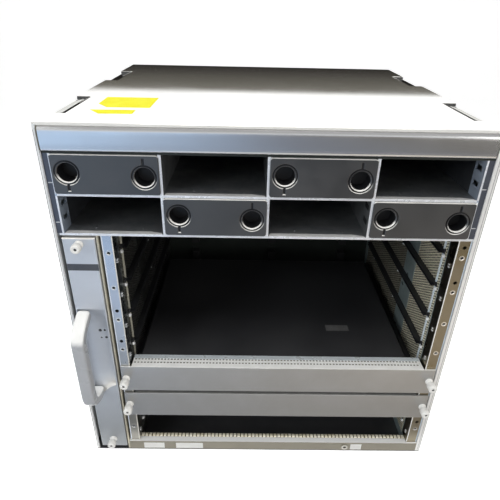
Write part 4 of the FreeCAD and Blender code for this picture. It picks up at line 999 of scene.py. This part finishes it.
# Each station's place from front to back, its height and its thickness.
bow_stations = (
    (bow_face + 0.0040, bow_high.z - 0.0060, arm_thick), (bow_face - 0.0030, bow_high.z - 0.0085, arm_thick),
    (bow_face - 0.0180, bow_high.z - 0.0145, arm_thick), (bow_face - 0.0235, bow_high.z - 0.0175, arm_thick),
    (grip_y - 0.0002, bow_high.z - 0.0245, grip_thick), (grip_y, bow_high.z - 0.0310, grip_thick),
    (grip_y, bow_high.z - 0.0600, grip_thick), (grip_y, bow_low.z + 0.0400, grip_thick),
    (grip_y, bow_low.z + 0.0270, grip_thick), (grip_y + 0.0010, bow_low.z + 0.0200, grip_thick),
    (bow_face - 0.0210, bow_low.z + 0.0140, grip_thick), (bow_face - 0.0120, bow_low.z + 0.0100, 0.0130),
    (bow_face - 0.0030, bow_low.z + 0.0080, 0.0140), (bow_face + 0.0040, bow_low.z + 0.0078, 0.0145))
bow_sides, bow_squareness = 20, 4.5


def squared(value):
    """A sine or cosine pushed outward, so that a ring made of them is a rounded square."""
    return math.copysign(abs(value) ** (2 / bow_squareness), value)


bow_x = bow_low.x + bow_side + bow_wide / 2
build = bmesh.new()
rings = []
for i, (y, z, thick) in enumerate(bow_stations):
    before, after = bow_stations[max(i - 1, 0)], bow_stations[min(i + 1, len(bow_stations) - 1)]
    run = Vector((0, after[0] - before[0], after[1] - before[1])).normalized()
    out = Vector((0, run.z, -run.y))
    ring = []
    for step in range(bow_sides):
        bend = 2 * math.pi * step / bow_sides
        middle = Vector((bow_x + squared(math.cos(bend)) * bow_wide / 2, y, z))
        ring.append(build.verts.new(middle + out * squared(math.sin(bend)) * thick / 2))
    rings.append(ring)
for near, far in zip(rings, rings[1:]):
    bridge(build, near, far)
build.faces.new(rings[0])
build.faces.new(rings[-1])
handle_pale = finish("handle_pale", (0.44, 0.45, 0.47), (0.41, 0.42, 0.44), 0.28, scale=30, grain_scale=2600,
                     top_lighting=(0.97, 0.97, 0.95))
bow = new_piece("tray_handle", build, handle_pale, "fan_tray", sharp=60)
smoother = bow.modifiers.new("smooth", "SUBSURF")
smoother.levels = 2
smoother.render_levels = 2
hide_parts("fan_tray_handle")


# ---- Captive screws
# Turned thumbscrews with a collar at the panel, a slim neck, a knurled barrel and a
# recess in the end, with a disc of painted shade at its floor. Two hold the fan tray and two each slot
# blank.
knob_r, collar_r, neck_r = 0.0052, 0.0048, 0.0030
knurl, knurl_from = 0.0004, 0.0042
recess_r, recess_deep, recess_floor = 0.0016, 0.0016, (0.0007, 0.0009)
shank_r, shank_tip, shank_sunk, shank_lead = 0.0019, 0.0012, 0.0003, 0.001
# The collar and neck out from the panel, then the barrel in from its end.
screw_foot = ((0.0005, collar_r), (-0.0012, collar_r), (-0.0020, collar_r - 0.0008), (-0.0024, neck_r),
              (-0.0044, neck_r), (-0.0048, knob_r - 0.0008), (-0.0056, knob_r))
screw_barrel = ((0.0030, knob_r), (0.0027, knob_r - 0.0005), (0.0023, knob_r - 0.0005), (0.0020, knob_r),
                (0.0008, knob_r), (0.0003, knob_r - 0.0006), (0.0, knob_r - 0.0011),
                (0.0, recess_r + 0.0002), (0.0002, recess_r), (recess_deep, recess_r))
knob_cream = finish("knob_cream", (0.92, 0.915, 0.89), (0.84, 0.83, 0.80), 0.38, scale=160, grain_scale=1500)
recess_shade = finish("recess_shade", (0.03, 0.03, 0.03), (0.05, 0.05, 0.05), 0.5, scale=300)
screws = ["tray_screw_top", "tray_screw_low"]
screws += ["slot_%d_screw_%s" % (slot, side) for slot in (5, 6) for side in ("left", "right")]
for name in screws:
    low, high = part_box(name)
    place = ((low.x + high.x) / 2, (low.z + high.z) / 2)
    profile = [(bow_face + back, radius) for back, radius in screw_foot]
    profile += [(low.y + back, radius) for back, radius in screw_barrel]
    build = bmesh.new()
    turned(build, profile, place, segments=40, knurl=knurl, knurl_from=knurl_from)
    turned(build, [(bow_face - shank_sunk, shank_r), (high.y - shank_lead, shank_r), (high.y, shank_tip)],
           place, segments=16)
    screw = new_piece(name + "_turned", build, knob_cream, name + "_body", sharp=50)
    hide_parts(name)
    build = bmesh.new()
    turned(build, [(low.y + back, recess_r) for back in recess_floor], place, segments=16)
    new_piece(name + "_recess", build, recess_shade, name + "_body")


# ---- Slot blanks
# Two steel faces over empty slots, with a rolled top fold. Each fold carries two rows of
# tiny contact teeth and a spring strip, and a dark smooth baffle runs back behind it.
# The upper face has painted highlights on its edges and on faces that look up, and its fold
# is painted lit white; the lower face goes without them and its fold is painted in shade.
blank_steel = finish("blank_steel", (0.46, 0.46, 0.46), (0.42, 0.415, 0.405), 0.36, 0.7, grain_scale=1400,
                     pale_edge=(0.70, 0.70, 0.70), pale_edge_share=0.8, top_lighting=(0.92, 0.92, 0.90))
blank_shaded = finish("blank_shaded", (0.46, 0.46, 0.46), (0.42, 0.415, 0.405), 0.36, 0.7, grain_scale=1400)
strip_blue = finish("strip_blue", (0.80, 0.86, 0.90), (0.70, 0.76, 0.80), 0.30, 0.3, scale=60,
                    grain_scale=1200, drawn=(0.1, 1, 1))
baffle_black = finish("baffle_black", (0.029, 0.029, 0.032), (0.040, 0.040, 0.043), 0.40, scale=9,
                      gloss_change=0.10, grain_scale=1600, pale_edge=(0.09, 0.09, 0.09))
fold_lit = finish("fold_lit", (0.95, 0.95, 0.93), (0.88, 0.88, 0.86), 0.35, scale=60)
fold_shade = finish("fold_shade", (0.28, 0.28, 0.27), (0.22, 0.22, 0.21), 0.35, scale=60)
tooth_dark = finish("tooth_dark", (0.20, 0.20, 0.19), (0.30, 0.28, 0.24), 0.40, 0.4, scale=200)
fold_inset = 0.0006
tooth_rows, tooth_pitch, tooth_inset = (0.0080, 0.0137), 0.0040, 0.003
tooth_half, tooth_half_deep, tooth_tall = 0.0011, 0.0009, 0.00025
for slot, steel, fold in ((5, blank_steel, fold_lit), (6, blank_shaded, fold_shade)):
    blank = "slot_blank_%d" % slot
    dress(steel, blank + "_face", edge=0.0003)
    dress(strip_blue, blank + "_gasket")
    dress(baffle_black, blank + "_tray", edge=0.0003)
    low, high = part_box(blank + "_gasket")
    plate_piece("slot_%d_fold" % slot, fold, blank, "blank_face_steel",
                rectangle(low.x, high.x, front + fold_inset, low.y), low.z - skin, low.z + skin, "Z")
    build = bmesh.new()
    count = int((high.x - low.x - 2 * tooth_inset) / tooth_pitch)
    for row in tooth_rows:
        for i in range(count + 1):
            x = low.x + tooth_inset + i * tooth_pitch
            add_plate(build, rectangle(x - tooth_half, x + tooth_half, front + row - tooth_half_deep,
                                       front + row + tooth_half_deep), low.z, low.z + tooth_tall, "Z")
    new_piece("slot_%d_contacts" % slot, build, tooth_dark, blank)

mark_x, mark_back = (0.089, 0.120), (0.075, 0.087)
mark_grey = finish("mark_grey", (0.13, 0.13, 0.13), (0.10, 0.10, 0.10), 0.5, scale=100)
baffle_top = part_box("slot_blank_5_tray")[1].z
plate_piece("baffle_mark", mark_grey, "slot_blank_5", "baffle_black",
            rectangle(*mark_x, front + mark_back[0], front + mark_back[1]), baffle_top - skin,
            baffle_top + skin, "Z")


# ---- Bottom sill
# The folded front edge of the pan, in bright steel with a painted highlight on faces that
# look up, with a strip of sprung gold contact fingers on its shelf, a ground jack and three bare stickers.
sill_steel = finish("sill_steel", (0.27, 0.25, 0.195), (0.24, 0.22, 0.17), 0.36, 0.1, scale=14,
                    drawn=(0.1, 1, 1), top_lighting=(0.96, 0.96, 0.95))
jack_metal = finish("jack_metal", (0.55, 0.53, 0.48), (0.45, 0.44, 0.40), 0.28, 1.0, scale=200)
dress(sill_steel, "bottom_sill", edge=0.0004)
dress(jack_metal, "ground_jack", edge=0.0003)

finger_pitch, finger_wide, finger_thick = 0.0050, 0.0036, 0.00025
finger_rise, finger_past, finger_turns, finger_fullness = 0.0021, 0.0006, 10, 0.35
spine_deep, gaps_past = 0.0012, 0.0010
strip_low, strip_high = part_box("emi_gasket")
strip_top = strip_low.z + finger_thick
finger_gold = finish("finger_gold", (0.92, 0.84, 0.62), (0.96, 0.92, 0.80), 0.30, 0.2, scale=120)
arch = []
for step in range(finger_turns + 1):
    t = step / finger_turns
    arch.append((strip_low.y + t * (strip_high.y - strip_low.y + finger_past),
                 strip_top + finger_rise * math.sin(math.pi * t) ** finger_fullness))
under = [(y, max(z - finger_thick, strip_low.z)) for y, z in reversed(arch)]
build = bmesh.new()
count = int((strip_high.x - strip_low.x) / finger_pitch)
for i in range(count):
    x = strip_low.x + (i + 0.5) * (strip_high.x - strip_low.x) / count
    extruded(build, arch + under, x - finger_wide / 2, x + finger_wide / 2)
extruded(build, rectangle(strip_low.y, strip_low.y + spine_deep, strip_low.z, strip_top), strip_low.x,
         strip_high.x)
fingers = new_piece("sill_fingers", build, finger_gold, "chassis")
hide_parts("emi_gasket")

finger_shade = finish("finger_shade", (0.26, 0.20, 0.11), (0.20, 0.15, 0.08), 0.4, 0.3, scale=60)
plate_piece("sill_finger_gaps", finger_shade, "chassis", "contact_strip",
            rectangle(strip_low.x, strip_high.x, strip_low.y + spine_deep, strip_high.y + gaps_past),
            strip_low.z - skin, strip_low.z + skin, "Z")

sticker_spans, sticker_rise = ((-0.156, -0.1285), (-0.113, -0.0765), (0.124, 0.139)), (0.0026, 0.0128)
sticker_white = finish("sticker_white", (0.86, 0.86, 0.84), (0.80, 0.80, 0.78), 0.55, scale=60,
                       relief=0.00001)
build = bmesh.new()
for span in sticker_spans:
    add_plate(build, rectangle(*span, *sticker_rise), front - skin, front + skin, "Y")
new_piece("sill_stickers", build, sticker_white, "chassis")
